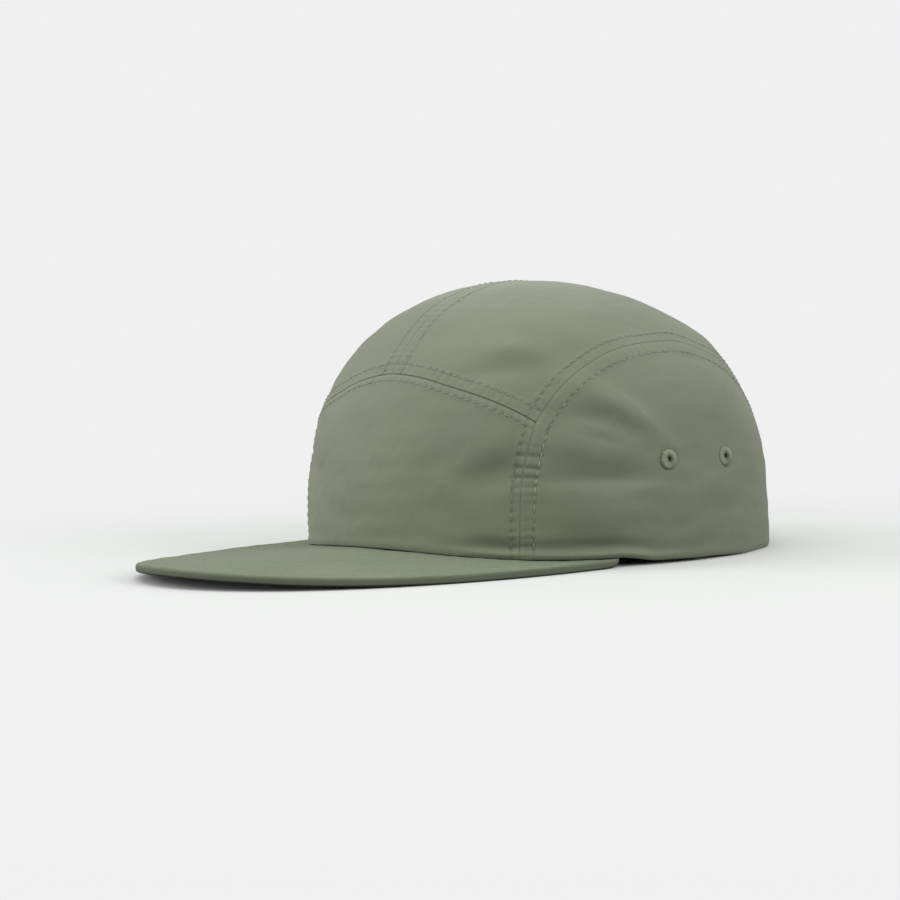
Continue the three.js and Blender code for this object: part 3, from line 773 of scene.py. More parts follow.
# Orders of a face's four corners: seen from one side or the other, and for a section that goes round
OUT, IN, ROUND = (0, 1, 2, 3), (3, 2, 1, 0), (0, 3, 2, 1)


def grid_faces(rows, columns, first=0, order=OUT, closed=(False, False)):
    """Faces between the points of a grid, which may be closed in either direction."""
    steps = (np.arange(n if whole else n - 1) for n, whole in zip((rows, columns), closed))
    i, j = np.meshgrid(*steps, indexing="ij")
    i2, j2 = (i + 1) % rows, (j + 1) % columns
    corners = [i * columns + j, i2 * columns + j, i2 * columns + j2, i * columns + j2]
    return first + np.stack(corners, -1).reshape(-1, 4)[:, order]


# Crown panels

CELL = 0.6
# Grid of each kind of panel: its length and height in millimetres, each with the size of its cells
GRIDS = {
    "front": ((116, CELL), (64, CELL)),
    "side": ((150, CELL), (64, CELL)),
    "top": ((84, CELL), (170, 1.1 * CELL)),
}
EYELET_CUT_RADIUS = 2.4
# Steps from a seam inwards, in millimetres: fine in its ditch, then even up to where the panel's own begin
SEAM_STEPS = np.concatenate([[0, 0.1, 0.22, 0.36, 0.52, 0.7, 0.95], np.arange(1.3, 8.0, 0.36)])


def graded(length, cell):
    """An odd number of shares from 0 to 1, with small steps beside the ends, where the seams are."""
    first, last = SEAM_STEPS[-1], length - SEAM_STEPS[-1]
    middle = np.linspace(first, last, max(int((last - first) / cell), 2) + 1)
    steps = np.concatenate([SEAM_STEPS[:-1], middle, (length - SEAM_STEPS[:-1])[::-1]]) / length
    half = len(steps) // 2
    return steps if len(steps) % 2 else np.insert(steps, half, (steps[half - 1] + steps[half]) / 2)


def blended(kind, low, high, start, end):
    """Grid of disc points between four lines that meet at their ends."""
    s, t = (graded(*side) for side in GRIDS[kind])
    a, b = along_crown(low, s)[:, None], along_crown(high, s)[:, None]
    c, d = along_crown(start, t)[None], along_crown(end, t)[None]
    s, t = s[:, None, None], t[None, :, None]
    flat = a * (1 - t) + b * t + c * (1 - s) + d * s
    flat = flat - a[0] * (1 - s) * (1 - t) - a[-1] * s * (1 - t)
    return flat - b[0] * (1 - s) * t - b[-1] * s * t


def panel_points(disc, panel, inside=False):
    """Points of a panel's outside or inside, and the painted shade of its creases."""
    plain = plain_crown(disc)
    height, crease_shade = crown_relief(plain, disc, panel)
    if inside:
        height = np.minimum(folds_at(plain) - CLOTH_WALL, height - LEAST_WALL)
    return plain + crown_normal(disc) * height[..., None], crease_shade


def edge_wall(outer, inner, mirror):
    """Faces that close the four sides between the outer grid and an inner one with half as many steps."""
    sides = [
        (outer[:, 0], inner[:, 0]), (outer[-1, :], inner[-1, :]),
        (outer[::-1, -1], inner[::-1, -1]), (outer[0, ::-1], inner[0, ::-1]),
    ]
    faces = [np.stack([near[:-1], near[1:], far[2::2], far[1::2], far[:-2:2]], -1) for far, near in sides]
    faces = np.concatenate(faces)
    return faces[:, ::-1] if mirror else faces


def with_holes(points, faces, centres):
    """The faces without those inside each eyelet, whose thread covers the cut."""
    middle = points[faces].mean(1)
    inside = np.zeros(len(faces), bool)
    for centre, normal in centres:
        away = middle - centre
        near = np.linalg.norm(away, axis=1) < 3 * EYELET_CUT_RADIUS
        away = away - (away @ normal)[:, None] * normal
        inside |= near & (np.linalg.norm(away, axis=1) < EYELET_CUT_RADIUS)
    return faces[~inside]


def crown_panel(name, disc, mirror):
    """A panel with an outside, an inside with half as many steps, and an edge all round."""
    disc = flip(disc) if mirror else disc
    rows, columns = disc.shape[:2]
    outside, crease_shade = panel_points(disc, name)
    within, _ = panel_points(disc[::2, ::2], name, True)
    outer = np.arange(rows * columns).reshape(rows, columns)
    inner = rows * columns + np.arange(within[..., 0].size).reshape(within.shape[:2])
    points = np.concatenate([outside.reshape(-1, 3), within.reshape(-1, 3)])
    # Painted shade of the creases on the outside, none on the inside
    shade_and_tone = np.concatenate([crease_shade.ravel(), np.zeros(inner.size)])
    # Place on the cloth: steps along the middle of the grid
    place = np.stack(np.meshgrid(arcs(outside[:, columns // 2]), arcs(outside[rows // 2]), indexing="ij"), -1)
    place = np.concatenate([place.reshape(-1, 2), place[::2, ::2].reshape(-1, 2)])
    out_faces = grid_faces(rows, columns, 0, IN if mirror else OUT)
    in_faces = grid_faces(*within.shape[:2], rows * columns, OUT if mirror else IN)
    if name.startswith("side_panel"):
        centres = [pose for key, pose in eyelet_poses.items() if name.split("_")[-1] in key]
        out_faces, in_faces = (with_holes(points, faces, centres) for faces in (out_faces, in_faces))
    faces = [out_faces, in_faces, edge_wall(outer, inner, mirror)]
    make_piece(name + "_cloth", points, faces, "crown_cloth", place, shade_and_tone, name)


def build_panels():
    rim_front = disc_point(np.linspace(-FRONT_FOOT, FRONT_FOOT, 400), 1.0)
    front = blended("front", rim_front, lines["front"], flip(side_line), side_line)
    crown_panel("front_panel", front, False)
    rim_side = disc_point(np.linspace(FRONT_FOOT, BACK_FOOT, 600), 1.0)
    side = blended("side", rim_side, arch_turn, side_line, arch_leg[::-1])
    crown_panel("side_panel_left", side, False)
    crown_panel("side_panel_right", side, True)
    leg = disc_point(np.linspace(180 - OPENING_HALF_ANGLE, BACK_FOOT, 60), 1.0)
    high = np.concatenate([opening_half, leg[1:]])
    whole_arch = np.concatenate([arch_turn, arch_leg[1:]])
    top = blended("top", front_half, high, centre_line, whole_arch)
    crown_panel("top_panel_left", top, False)
    crown_panel("top_panel_right", top, True)


build_panels()

# Stitches

STITCH_SIDES = 6
STITCH_LENGTH = 2.35
STITCH_SPREAD = (0.94, 1.06)
THREAD_RADIUS = 0.2
# How far a stitch's middle lies over the cloth
STITCH_LIFT = (0.08, 0.16)
STITCH_TONES = (-0.1, 0.6)
# A stitch's sections: place along it as a share of its length, rise in millimetres, share of its radius
SECTIONS = [
    (-0.5, -0.3, 0.45), (-0.42, -0.1, 0.85), (-0.22, 0.04, 1), (0, 0.08, 1), (0.22, 0.04, 1),
    (0.42, -0.1, 0.85), (0.5, -0.3, 0.45),
]
FLATTENED = 0.8
# Rows stay this far from a seam's ends, from other seams and from the opening
ROW_FROM_END = 1.5
ROW_FROM_SEAM = 0.9
ROW_FROM_OPENING = 1.5
ROW_SHARE = 0.985
# Half the reach of cloth that a stitch's direction is taken from, as a share of the pitch
STITCH_REACH = 0.36
# The side seams' stitches are darker, and painted paler again in the side panels where the seam puckers: a
# painted highlight
SIDE_DARK = 0.3
SIDE_PAINTED_HIGHLIGHT = (1.5, 30, 14)


def add_stitches(name, middles, alongs, ups, lengths, tones, radius):
    """Short bowed threads, thin at both ends. Each goes along its own direction with its middle raised."""
    places, rises, thick = np.array(SECTIONS, float).T
    rings = len(SECTIONS)
    sides = unit(np.cross(alongs, ups))
    turns = np.arange(STITCH_SIDES) / STITCH_SIDES * 2 * np.pi
    centre = middles[:, None] + alongs[:, None] * places[:, None] * lengths[:, None, None]
    centre = centre + ups[:, None] * rises[:, None]
    out, up = np.cos(turns)[:, None], FLATTENED * np.sin(turns)[:, None]
    ring = sides[:, None, None] * out + ups[:, None, None] * up
    points = (centre[:, :, None] + ring * (thick * radius)[:, None, None]).reshape(-1, 3)
    base = (np.arange(len(middles)) * rings * STITCH_SIDES)[:, None]
    quads = base[..., None] + grid_faces(rings, STITCH_SIDES, 0, ROUND, (False, True))
    start = base + np.arange(STITCH_SIDES)[::-1]
    end = base + (rings - 1) * STITCH_SIDES + np.arange(STITCH_SIDES)
    faces = [quads.reshape(-1, 4), np.concatenate([start, end])]
    make_piece(name, points, faces, "thread", points[:, :2], np.repeat(tones, rings * STITCH_SIDES))


def offset_row(seam, side, distance):
    """Disc points beside a seam at that distance on the crown."""
    along_u, along_v = slopes(seam.disc)
    normal = unit(np.cross(along_u, along_v))
    away = unit(np.cross(normal, seam.tangent)) * side * distance
    uu, uv, vv = (along_u ** 2).sum(1), (along_u * along_v).sum(1), (along_v ** 2).sum(1)
    ru, rv = (along_u * away).sum(1), (along_v * away).sum(1)
    det = uu * vv - uv ** 2
    return seam.disc + np.stack([(vv * ru - uv * rv) / det, (uu * rv - uv * ru) / det], -1)


def clear_places(panel, seam_name, row):
    """Which points of a row lie on their own panel, clear of its edges and of the other seams."""
    seam = seams[seam_name]
    good = np.hypot(row[:, 0], row[:, 1]) < ROW_SHARE
    good &= (seam.arc > ROW_FROM_END) & (seam.arc < seam.length - ROW_FROM_END)
    if panel.startswith("top_panel"):
        good &= row[:, 0] * (1 if panel.endswith("left") else -1) > 0
    plain = plain_crown(row)
    for other in {r[0] for r in ROWS[panel]} - {seam_name}:
        good &= seams[other].beside(plain)[0] > ROW_FROM_SEAM
    if seam_name.startswith("arch"):
        good &= seams["opening"].beside(plain)[0] > ROW_FROM_OPENING
    return good


def row_stitches(panel, seam_name, side, distance):
    """Middles, directions, lengths and tones of one row's stitches."""
    seam = seams[seam_name]
    row = offset_row(seam, side, distance)
    good = clear_places(panel, seam_name, row).astype(float)
    surface, _ = panel_points(row, panel)
    places = (np.arange(int(seam.length / PITCH)) + 0.5) * PITCH
    places = places[np.interp(places, seam.arc, good) > 0.99]
    reach = STITCH_REACH * PITCH
    before, here, after = (picked(places + step, seam.arc, surface) for step in (-reach, 0, reach))
    stretch = np.linalg.norm(after - before, axis=1) / (2 * reach)
    lengths = STITCH_LENGTH * stretch * rng.uniform(*STITCH_SPREAD, len(places))
    ahead = unit(after - before)
    up = unit(picked(places, seam.arc, crown_normal(row)))
    up = unit(up - (up * ahead).sum(1)[:, None] * ahead)
    middles = (here * 2 + before + after) / 4 + up * rng.uniform(*STITCH_LIFT, len(places))[:, None]
    tones = rng.uniform(*STITCH_TONES, len(places))
    # Side seam stitches are darker, with a painted highlight in the side panels where the seam puckers
    if seam_name.startswith("side"):
        tones += SIDE_DARK if panel == "front_panel" else SIDE_DARK - hill(places, SIDE_PAINTED_HIGHLIGHT)
    return middles, ahead, up, lengths, tones


rows = [row_stitches(panel, *row) for panel, panel_rows in ROWS.items() for row in panel_rows]
add_stitches("crown_topstitching", *(np.concatenate(values) for values in zip(*rows)), THREAD_RADIUS)

# Sewn eyelets

RING_THREADS = 34
RING_POINTS = (8 * RING_THREADS, 22)
SEWN_HOLE_RADIUS = 0.62
# How far the thread stands over the cloth on each side
RING_RISE = 0.7
# The back eyelets lean a little towards the front in the soft cloth
BACK_EYELET_LEAN = 0.14
# Power that squares each thread's ridge and the ring's own section
RING_POWER = 0.7
# How each thread differs in height and reach, and how its ridge stands out over the dips beside it
EACH_RISE = 0.05
EACH_REACH = 0.04
RIDGE_RISE = (0.16, 0.6)
RIDGE_REACH = (0.12, 0.5)
# The knotted edge: its height, its middle and half width round the section, its share out and up
KNOT = (0.2, 0.5, 0.35)
KNOT_OUT = 0.4
KNOT_UP = 0.5
# Needle holes round the outer edge with painted shade in them, and painted shade inside the hole: tone,
# middle and half width round the section
OUTER_HOLES = 15
OUTER_HOLE = (1.1, 0, 0.6)
INNER_SHADE = (1.7, np.pi, 1.1)
# Painted shade in the dips between the threads, each thread's own random tone, a paler tone for the whole
# ring, and the darkest the ring is painted
DIP_DARK = 0.45
EACH_DARK = 0.1
RING_TONE = -0.3
DARKEST_RING = 1.9
# Place on the cloth: millimetres to a radian round the hole
RING_CLOTH = 3


def eyelet_ring(name, centre, normal):
    """A ring of radial threads round the hole, thick in the middle, with a knotted outer edge."""
    turn, lap = np.meshgrid(*(np.arange(n) / n * 2 * np.pi for n in RING_POINTS), indexing="ij")
    dice = np.random.default_rng(sum(map(ord, name)))
    each = dice.normal(size=RING_THREADS)[(turn / (2 * np.pi) * RING_THREADS).astype(int) % RING_THREADS]
    ridge = np.abs(np.sin(turn * RING_THREADS / 2)) ** RING_POWER
    out, up = np.cos(lap), np.sin(lap)
    knot = hill(lap, KNOT) * (0.5 + ridge)
    reach = (SEWN_RADIUS - SEWN_HOLE_RADIUS) / 2 * (1 + EACH_REACH * each)
    radius = (SEWN_RADIUS + SEWN_HOLE_RADIUS) / 2 + out * reach
    radius = radius + RIDGE_REACH[0] * (ridge - RIDGE_REACH[1]) * np.maximum(out, 0) + KNOT_OUT * knot
    swell = 1 + EACH_RISE * each + RIDGE_RISE[0] * (ridge - RIDGE_RISE[1])
    rise = np.sign(up) * np.abs(up) ** RING_POWER * (CLOTH_WALL / 2 + RING_RISE) * swell + KNOT_UP * knot
    first = unit(np.cross([0, 0, 1], normal))
    second = np.cross(normal, first)
    away = np.cos(turn)[..., None] * first + np.sin(turn)[..., None] * second
    points = centre + radius[..., None] * away + rise[..., None] * normal
    # Painted shade between the threads, in the needle holes and inside the hole, with each thread's own tone
    holes = (0.5 + 0.5 * np.cos(OUTER_HOLES * turn)) ** 2 * hill(lap, OUTER_HOLE)
    shade_and_tone = DIP_DARK * (1 - ridge) + EACH_DARK * each + holes + hill(lap, INNER_SHADE) + RING_TONE
    shade_and_tone = np.minimum(shade_and_tone, DARKEST_RING).ravel()
    place = np.stack([turn * RING_CLOTH, lap], -1).reshape(-1, 2)
    faces = grid_faces(*RING_POINTS, closed=(True, True))
    make_piece(name + "_thread", points.reshape(-1, 3), [faces], "thread", place, shade_and_tone, name)


for name, (centre, normal) in eyelet_poses.items():
    lean = BACK_EYELET_LEAN if name.endswith("back") else 0
    eyelet_ring(name, centre, unit(normal - np.array([0, lean, 0])))

# Peak

PEAK_ROWS = [4 + 7 * k for k in range(8)]
PEAK_REACH = CROWN_FRONT_REACH + PEAK_LENGTH - PEAK_ROOT_FORWARD
# Steps along the peak, and rows over its top, round each half of its edge and under it
STATIONS = 330
TOP_ROWS = 172
EDGE_ROWS = 6
UNDER_ROWS = 50
# Radius of the edge, and the most of the width that it takes near the ends
EDGE_ROUND = 1.1
EDGE_SHARE = 0.45
# The ends are round in plan and grow thin: how far each goes, how thin, and what is left at the very end
END_ROUND = 5.0
END_SLOPE = 10.0
END_TAPER = 0.85
END_LEFT = 0.15
# Painted shade on the edge, and a darker painted shadow on the strip under it, which begins at this face
EDGE_DARK = 0.6
UNDER_EDGE_DARK = 1.3
UNDER_EDGE = -0.2
# A row's groove and the painted shade line in it: depth or tone, half width
ROW_GROOVE = (0.11, 0.6)
ROW_LINE = (0.14, 0.5)
# Unrest of the cloth: height, length of its waves, seed. This share of all relief shows below
PEAK_UNREST = [(0.06, 22, 31), (0.035, 7, 32)]
UNDER_RELIEF = 0.6
INSET_HALVINGS = 22
INNERMOST = 0.5


def rounded(value):
    return np.sign(value) * np.abs(value) ** (2 / PEAK_FULLNESS)


def peak_outline(turn, inset=0.0):
    """Outer edge of the peak in plan, drawn in by the inset."""
    x = (PEAK_HALF_WIDTH - inset) * rounded(np.sin(turn))
    y = -PEAK_ROOT_FORWARD - (PEAK_REACH - inset) * rounded(np.cos(turn))
    return np.stack([x, y], -1)


def peak_inset(x, y):
    """How far a point of the peak lies in from its edge, on the same family of outlines."""
    low, high = np.zeros(x.shape), np.full(x.shape, PEAK_HALF_WIDTH - INNERMOST)
    forward = np.maximum(-PEAK_ROOT_FORWARD - y, 0)
    for _ in range(INSET_HALVINGS):
        inset = (low + high) / 2
        inside = (np.abs(x) / (PEAK_HALF_WIDTH - inset)) ** PEAK_FULLNESS
        outside = inside + (forward / (PEAK_REACH - inset)) ** PEAK_FULLNESS > 1
        low, high = np.where(outside, low, inset), np.where(outside, inset, high)
    return (low + high) / 2


def peak_relief(x, y):
    """Height of the stitched cloth over the board, and the painted shade in its row grooves."""
    inset = peak_inset(x, y)
    groove, crease_shade = (
        sum(hill(inset, (size, row, half)) for row in PEAK_ROWS) for size, half in (ROW_GROOVE, ROW_LINE)
    )
    place = np.stack([x, y, 0 * x], -1)
    return sum(size * ripple(place, wave, seed) for size, wave, seed in PEAK_UNREST) - groove, crease_shade


def peak_section(width):
    """Once round the section: over the top to the edge, down the edge, back under to the crown.

    Gives each place's reach from the crown and its level, which is 1 on top and 0 below, for every width,
    and its face, which goes from 1 on top over 0 at the edge to -1 below.
    """
    bend = np.linspace(0, np.pi / 2, EDGE_ROWS)
    over, under = np.arange(TOP_ROWS) / TOP_ROWS, np.arange(UNDER_ROWS)[::-1] / UNDER_ROWS
    share = np.concatenate([over, np.ones(2 * EDGE_ROWS), under])
    turn = np.concatenate([0 * over, bend, bend[::-1], 0 * under])
    side = np.where(np.arange(len(turn)) < TOP_ROWS + EDGE_ROWS, 1, -1)
    edge = np.minimum(EDGE_ROUND, width * EDGE_SHARE)[:, None]
    drop = edge * (1 - np.cos(turn)) / PEAK_THICKNESS
    reach = (width[:, None] - edge) * share + edge * np.sin(turn)
    return reach, np.where(side > 0, 1 - drop, drop), side * (1 - turn / (np.pi / 2))


def build_peak():
    turn = np.linspace(-np.pi / 2, np.pi / 2, 4000)
    length = arcs(peak_outline(turn))
    outer = peak_outline(np.interp(np.linspace(0, length[-1], STATIONS), length, turn))
    rim = rim_points(np.linspace(-PEAK_END_ANGLE, PEAK_END_ANGLE, STATIONS))[:, :2]
    inner = rim * (1 - CLOTH_WALL / np.linalg.norm(rim, axis=1))[:, None]
    from_end = length[-1] * np.arange(STATIONS) / (STATIONS - 1)
    from_end = np.minimum(from_end, from_end[::-1])
    full, thick = (1 - rounding(from_end + END_LEFT, reach) for reach in (END_ROUND, END_SLOPE))
    way = (outer - inner) * full[:, None]
    reach, level, face = peak_section(np.linalg.norm(way, axis=1))
    flat = inner[:, None] + unit(way)[:, None] * reach[..., None]
    relief, crease_shade = peak_relief(flat[..., 0], flat[..., 1])
    thin = 1 - (1 - level) * (1 - END_TAPER * (1 - thick[:, None]))
    relief = relief * np.where(face > 0, face, UNDER_RELIEF * face)
    z = peak_lift(flat[..., 0]) + PEAK_THICKNESS * thin + relief
    points = np.concatenate([flat, np.maximum(z, 0)[..., None]], -1)
    around = np.arange(len(face))
    caps = np.stack([around[::-1], (STATIONS - 1) * len(face) + around])
    faces = [grid_faces(STATIONS, len(face), 0, ROUND, (False, True)), caps]
    # Painted shade in the row grooves and on the edge, and a painted contact shadow on the strip under the
    # edge
    shade_and_tone = crease_shade * np.abs(face) + EDGE_DARK * (1 - np.abs(face))
    shade_and_tone += UNDER_EDGE_DARK * ((face < UNDER_EDGE) & (face > -1))
    place = np.stack([flat[..., 0], flat[..., 1] - 2 * (1 - level) * PEAK_THICKNESS], -1)
    points, place = points.reshape(-1, 3), place.reshape(-1, 2)
    make_piece("peak_cloth_cover", points, faces, "peak_cloth", place, shade_and_tone.ravel(), "peak")


build_peak()

PEAK_THREAD_RADIUS = 0.16
PEAK_THREAD_SUNK = 0.04
PEAK_TONES = (0.15, 0.55)
# The rows stay this far from the crown, from the line of the peak's ends and from their own ends
PEAK_ROW_CLEAR = 1.4
PEAK_ROW_AHEAD = 2.5
PEAK_ROW_END = 2
# Where the peak lies lower than this on the floor no stitches show below it
LEAST_LIFT = 0.8


def peak_stitches():
    """Middles and directions of the stitches over and under the peak."""
    found = []
    for inset in PEAK_ROWS:
        row = peak_outline(np.linspace(-np.pi / 2, np.pi / 2, 6000), inset)
        arc = arcs(row)
        places = (np.arange(int(arc[-1] / PITCH)) + 0.5) * PITCH
        at, ahead = picked(places, arc, row), picked(places + 1, arc, row) - picked(places - 1, arc, row)
        rim = rim_points(np.degrees(np.arctan2(at[:, 0], -at[:, 1])))[:, :2]
        clear = np.linalg.norm(at, axis=1) > np.linalg.norm(rim, axis=1) + PEAK_ROW_CLEAR
        clear &= (places > PEAK_ROW_END) & (places < arc[-1] - PEAK_ROW_END)
        clear &= at[:, 1] < -PEAK_ROOT_FORWARD - PEAK_ROW_AHEAD
        at, ahead = at[clear], unit(ahead[clear])
        x, lift = at[:, 0], peak_lift(at[:, 0])
        relief, _ = peak_relief(x, at[:, 1])
        slope = (peak_lift(x + ahead[:, 0]) - peak_lift(x - ahead[:, 0])) / 2
        ahead = unit(np.concatenate([ahead, slope[:, None]], 1))
        tilt = peak_lift(x + 0.5) - peak_lift(x - 0.5)
        up = unit(np.stack([-tilt, 0 * tilt, 1 + 0 * tilt], -1))
        top = np.stack([x, at[:, 1], lift + PEAK_THICKNESS + relief - PEAK_THREAD_SUNK], -1)
        under = np.stack([x, at[:, 1], lift - 0.5 * relief + PEAK_THREAD_SUNK], -1)
        lifted = lift > LEAST_LIFT
        found += [(top, ahead, up), (under[lifted], ahead[lifted], -up[lifted])]
    return [np.concatenate(values) for values in zip(*found)]


middles, alongs, ups = peak_stitches()
lengths = STITCH_LENGTH * rng.uniform(*STITCH_SPREAD, len(middles))
tones = rng.uniform(*PEAK_TONES, len(middles))
add_stitches("peak_topstitching", middles, alongs, ups, lengths, tones, PEAK_THREAD_RADIUS)

# Sweatband, strap and buckle

BAND_EDGE_ROUND = 0.6
BAND_EDGE_THIN = 0.42
BAND_STEPS = (380, 61)
STRAP_STEPS = (300, 81)
# Soft unrest of the sweatband, its seam, and the step of its folded upper edge: height, place, reach
BAND_UNREST = (0.12, 26, 41)
BAND_RADIUS = 90
BAND_SEAM = (0.14, 27.4, 0.5)
BAND_FOLD = (0.1, 22, 2)
# The webbing's slanting ribs: height, steps up and along, slant, and its thicker selvedge
RIB_RISE = 0.05
RIB_UP = 1.25
RIB_ALONG = 1.6
RIB_SLANT = 4
SELVEDGE = (0.1, STRAP_WIDTH / 2 - 1.1, 0.5)
STRAP_LOW = 0.05
# The buckle's round edges and the reach within which its corners are one, in metres
BUCKLE_ROUND = 0.0004
SAME_CORNER = 0.00001


def inner_band(name, slot, node_name, ends, levels, thickness, steps, wear):
    """A closed band inside the crown with rounded edges; wear() adds its weave or folds."""
    angle, height = np.linspace(*ends, steps[0])[:, None], np.linspace(*levels, steps[1])[None]
    disc = disc_at_height(angle, height)
    plain, normal = plain_crown(disc), crown_normal(disc)
    edge = np.minimum(height - levels[0], levels[1] - height)
    thin = rounding(edge, BAND_EDGE_ROUND) * thickness * BAND_EDGE_THIN
    rise = wear(angle, height)
    base = folds_at(plain) - CLOTH_WALL - BAND_GAP
    outer = plain + normal * (base - thin + np.minimum(rise, 0))[..., None]
    inner = plain + normal * (base - thickness + thin - rise)[..., None]
    points = np.concatenate([outer.reshape(-1, 3), inner.reshape(-1, 3)])
    along, up = steps
    count = along * up
    bottom = np.arange(along) * up
    first = np.arange(up)
    walls = []
    last = first + count - up
    for line, turned in ((bottom, False), (bottom + up - 1, True), (first, True), (last, False)):
        quads = np.stack([line[:-1], line[:-1] + count, line[1:] + count, line[1:]], -1)
        walls.append(quads if turned else quads[:, ::-1])
    faces = [grid_faces(along, up), grid_faces(along, up, count, IN), np.concatenate(walls)]
    around, height = np.broadcast_arrays(np.radians(angle) * CROWN_BACK_REACH, height)
    place = np.stack([around, height], -1).reshape(-1, 2)
    make_piece(name, points, faces, slot, np.concatenate([place, place]), 0.0, node_name)


def band_wear(angle, height):
    around, up = np.broadcast_arrays(np.radians(angle) * BAND_RADIUS, height)
    unrest, wave, seed = BAND_UNREST
    step, foot, reach = BAND_FOLD
    rise = unrest * ripple(np.stack([around, up, 0 * up], -1), wave, seed)
    return rise - hill(height, BAND_SEAM) + step * smooth((height - foot) / reach)


def strap_wear(angle, height):
    off = np.abs(height - STRAP_ABOVE_RIM - STRAP_WIDTH / 2)
    slant = np.radians(angle) * CROWN_BACK_REACH / RIB_ALONG + off / RIB_SLANT
    ribs = np.sin(2 * np.pi * (height / RIB_UP)) * np.cos(2 * np.pi * slant)
    return RIB_RISE * ribs + hill(off, SELVEDGE) - STRAP_LOW


band_end = BACK_FOOT - math.degrees(GAP / (CROWN_BACK_REACH - CLOTH_WALL - BAND_THICKNESS))
inner_band(
    "sweatband_cloth", "band_cloth", "sweatband", (-band_end, band_end), (0, BAND_HEIGHT), BAND_THICKNESS,
    BAND_STEPS, band_wear,
)
inner_band(
    "strap_webbing", "webbing", "back_strap", (BACK_FOOT, 360 - BACK_FOOT),
    (STRAP_ABOVE_RIM, STRAP_ABOVE_RIM + STRAP_WIDTH), STRAP_THICKNESS, STRAP_STEPS, strap_wear,
)

sleeve = bpy.data.objects.new("buckle_sleeve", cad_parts["strap_buckle"].data.copy())
sleeve.modifiers.new("corners", "WELD").merge_threshold = SAME_CORNER
bevel = sleeve.modifiers.new("edges", "BEVEL")
bevel.width = BUCKLE_ROUND
bevel.segments = 3
bevel.limit_method = "ANGLE"
add_piece(sleeve, "buckle", "strap_buckle")

# Floor, backdrop, lights and camera

BACKGROUND = 0.871
BOUNCE = 0.3
FLOOR_GREY = 0.87
WORLD_LIGHT = 0.415
# How far out the floor begins to turn into the surround, and where it has, in metres
FLOOR_TURNS = (0.1, 0.5)
# Radius of the floor that is seen, of the one under it and of the backdrop, in metres
FLOOR_RADIUS = 12.0
UNDER_FLOOR_RADIUS = 3.0
UNDER_FLOOR_DEPTH = 0.0002
BACKDROP_RADIUS = 11.0
DISC_SIDES = 96


def grey(value):
    return (value, value, value, 1)


def surround_light(tree):
    return node(tree, "Emission", {"Color": grey(BACKGROUND)}).outputs[0]


def floor_material():
    """Pale floor that turns into an evenly lit surround a little way out."""
    material, tree, shader = new_material("floor")
    set_sockets(tree, shader, {"Base Color": grey(FLOOR_GREY), "Roughness": 0.85, "Specular IOR Level": 0.1})
    place = node(tree, "TexCoord", {}).outputs["Object"]
    away = node(tree, "VectorMath", {0: place}, operation="LENGTH").outputs["Value"]
    reach = {"Value": away, "From Min": FLOOR_TURNS[0], "From Max": FLOOR_TURNS[1]}
    share = node(tree, "MapRange", reach, interpolation_type="SMOOTHSTEP").outputs[0]
    mix = node(tree, "MixShader", {0: share, 1: shader.outputs[0], 2: surround_light(tree)})
    set_sockets(tree, tree.nodes["Material Output"], {"Surface": mix.outputs[0]})
    return material


def under_floor_material():
    material, tree, shader = new_material("under_floor")
    set_sockets(tree, shader, {"Base Color": grey(BOUNCE), "Roughness": 0.9})
    return material


def stage_disc(name, radius, material):
    turn = np.arange(DISC_SIDES) / DISC_SIDES * 2 * np.pi
    points = np.stack([radius * np.cos(turn), radius * np.sin(turn), 0 * turn], -1)
    mesh = bpy.data.meshes.new(name)
    mesh.from_pydata(points.tolist(), [], [list(range(DISC_SIDES))])
    mesh.materials.append(material)
    disc = bpy.data.objects.new(name, mesh)
    bpy.context.scene.collection.objects.link(disc)
    return disc


# The floor that is seen, and a duller one just under it that gives the light thrown back up
floor = stage_disc("floor", FLOOR_RADIUS, floor_material())
floor.visible_diffuse = floor.visible_glossy = floor.visible_transmission = False
under_floor = stage_disc("under_floor", UNDER_FLOOR_RADIUS, under_floor_material())
under_floor.visible_camera = False
under_floor.location.z = -UNDER_FLOOR_DEPTH

bpy.ops.mesh.primitive_uv_sphere_add(segments=48, ring_count=24, radius=BACKDROP_RADIUS)
dome = bpy.context.object
dome.name = "backdrop"
surround, tree, _ = new_material("backdrop")
set_sockets(tree, tree.nodes["Material Output"], {"Surface": surround_light(tree)})
dome.data.materials.append(surround)
dome.visible_diffuse = dome.visible_glossy = dome.visible_shadow = dome.visible_transmission = False

world = bpy.data.worlds.new("studio")
bpy.context.scene.world = world
world.use_nodes = True
sky = {"Color": grey(1), "Strength": WORLD_LIGHT}
set_sockets(world.node_tree, world.node_tree.nodes["Background"], sky)

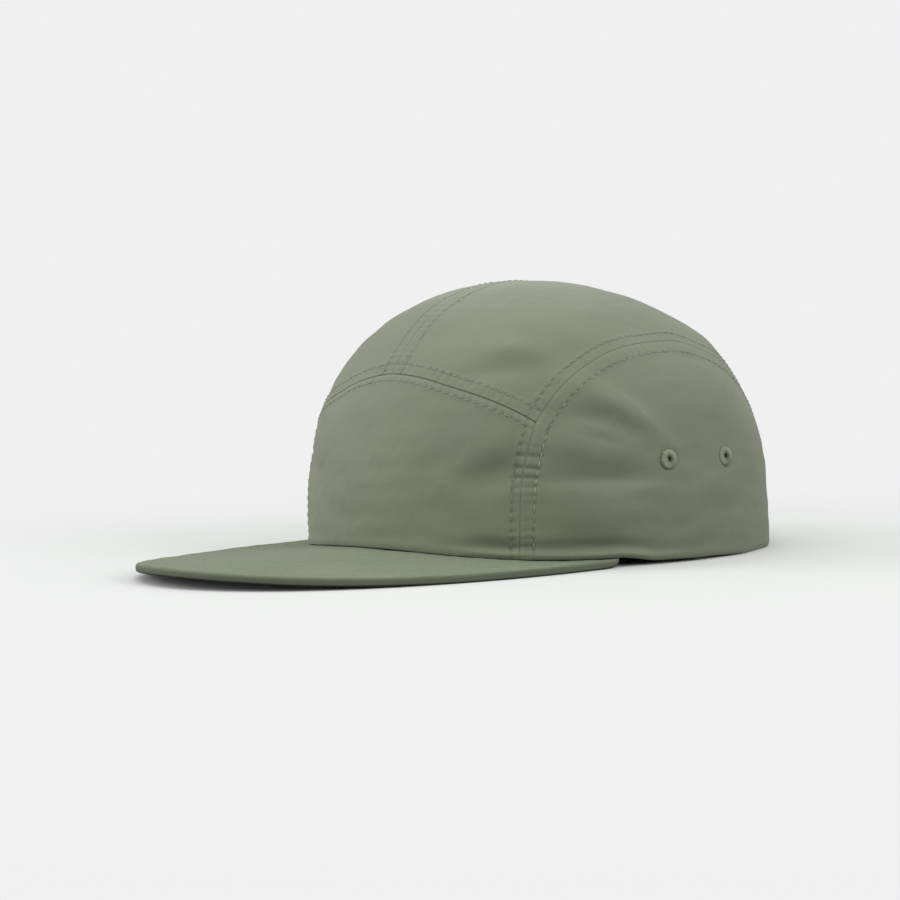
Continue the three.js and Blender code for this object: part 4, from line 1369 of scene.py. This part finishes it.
# Lights: name, place, aim, side length, power, colour
LIGHTS = [
    ("overhead", (0, 0, 1.4), (0, 0, 0.03), 1.2, 6.2, (0.95, 1.0, 0.98)),
    ("overhead_left", (-0.7, -0.6, 1.2), (0, 0, 0.05), 0.6, 2.0, (0.9, 1.0, 0.9)),
    ("front_box", (0.2, -1.55, 0.5), (0, 0, 0.05), 0.9, 4.8, (1.0, 0.93, 1.0)),
    ("left_box", (-1.3, -1.1, 0.6), (0, 0, 0.05), 0.8, 8.7, (1.0, 1.0, 0.98)),
    ("right_box", (1.5, 0.3, 0.7), (0, 0, 0.05), 0.8, 9.0, (1.0, 0.98, 0.98)),
    ("back_box", (0.6, 1.4, 1.0), (0, 0, 0.05), 0.8, 2.4, (0.9, 1.0, 0.85)),
]
for name, place, aim, size, power, colour in LIGHTS:
    light = bpy.data.lights.new(name, "AREA")
    light.shape = "SQUARE"
    light.size = size
    light.energy = power
    light.color = colour
    lamp = bpy.data.objects.new(name, light)
    lamp.location = place
    lamp.rotation_mode = "QUATERNION"
    lamp.rotation_quaternion = (Vector(place) - Vector(aim)).to_track_quat("Z", "Y")
    lamp.visible_camera = False
    bpy.context.scene.collection.objects.link(lamp)

azimuth, elevation, roll = (math.radians(a) for a in (CAMERA_AZIMUTH, CAMERA_ELEVATION, CAMERA_ROLL))
right = Vector((math.cos(azimuth), math.sin(azimuth), 0))
ahead = Vector((
    -math.sin(azimuth) * math.cos(elevation), math.cos(azimuth) * math.cos(elevation), -math.sin(elevation),
))
up = right.cross(ahead)
target = right * CAMERA_AIM_RIGHT + Vector((0, 0, CAMERA_AIM_HEIGHT))
place = Vector(row_frame(target - ahead * CAMERA_DISTANCE))
turned_right = right * math.cos(roll) + up * math.sin(roll)
turned_up = up * math.cos(roll) - right * math.sin(roll)
camera = bpy.data.objects.new("camera", bpy.data.cameras.new("camera"))
camera.data.sensor_width = SENSOR_MM
camera.data.lens = CAMERA_FOCAL_PIXELS / PHOTO_PIXELS * SENSOR_MM
camera.data.clip_start = 0.01
camera.data.clip_end = 50
axes = Matrix((turned_right, turned_up, -ahead)).transposed().to_4x4()
camera.matrix_world = Matrix.Translation(place) @ axes
bpy.context.scene.collection.objects.link(camera)
bpy.context.scene.camera = camera

bpy.context.scene.view_settings.view_transform = "Standard"
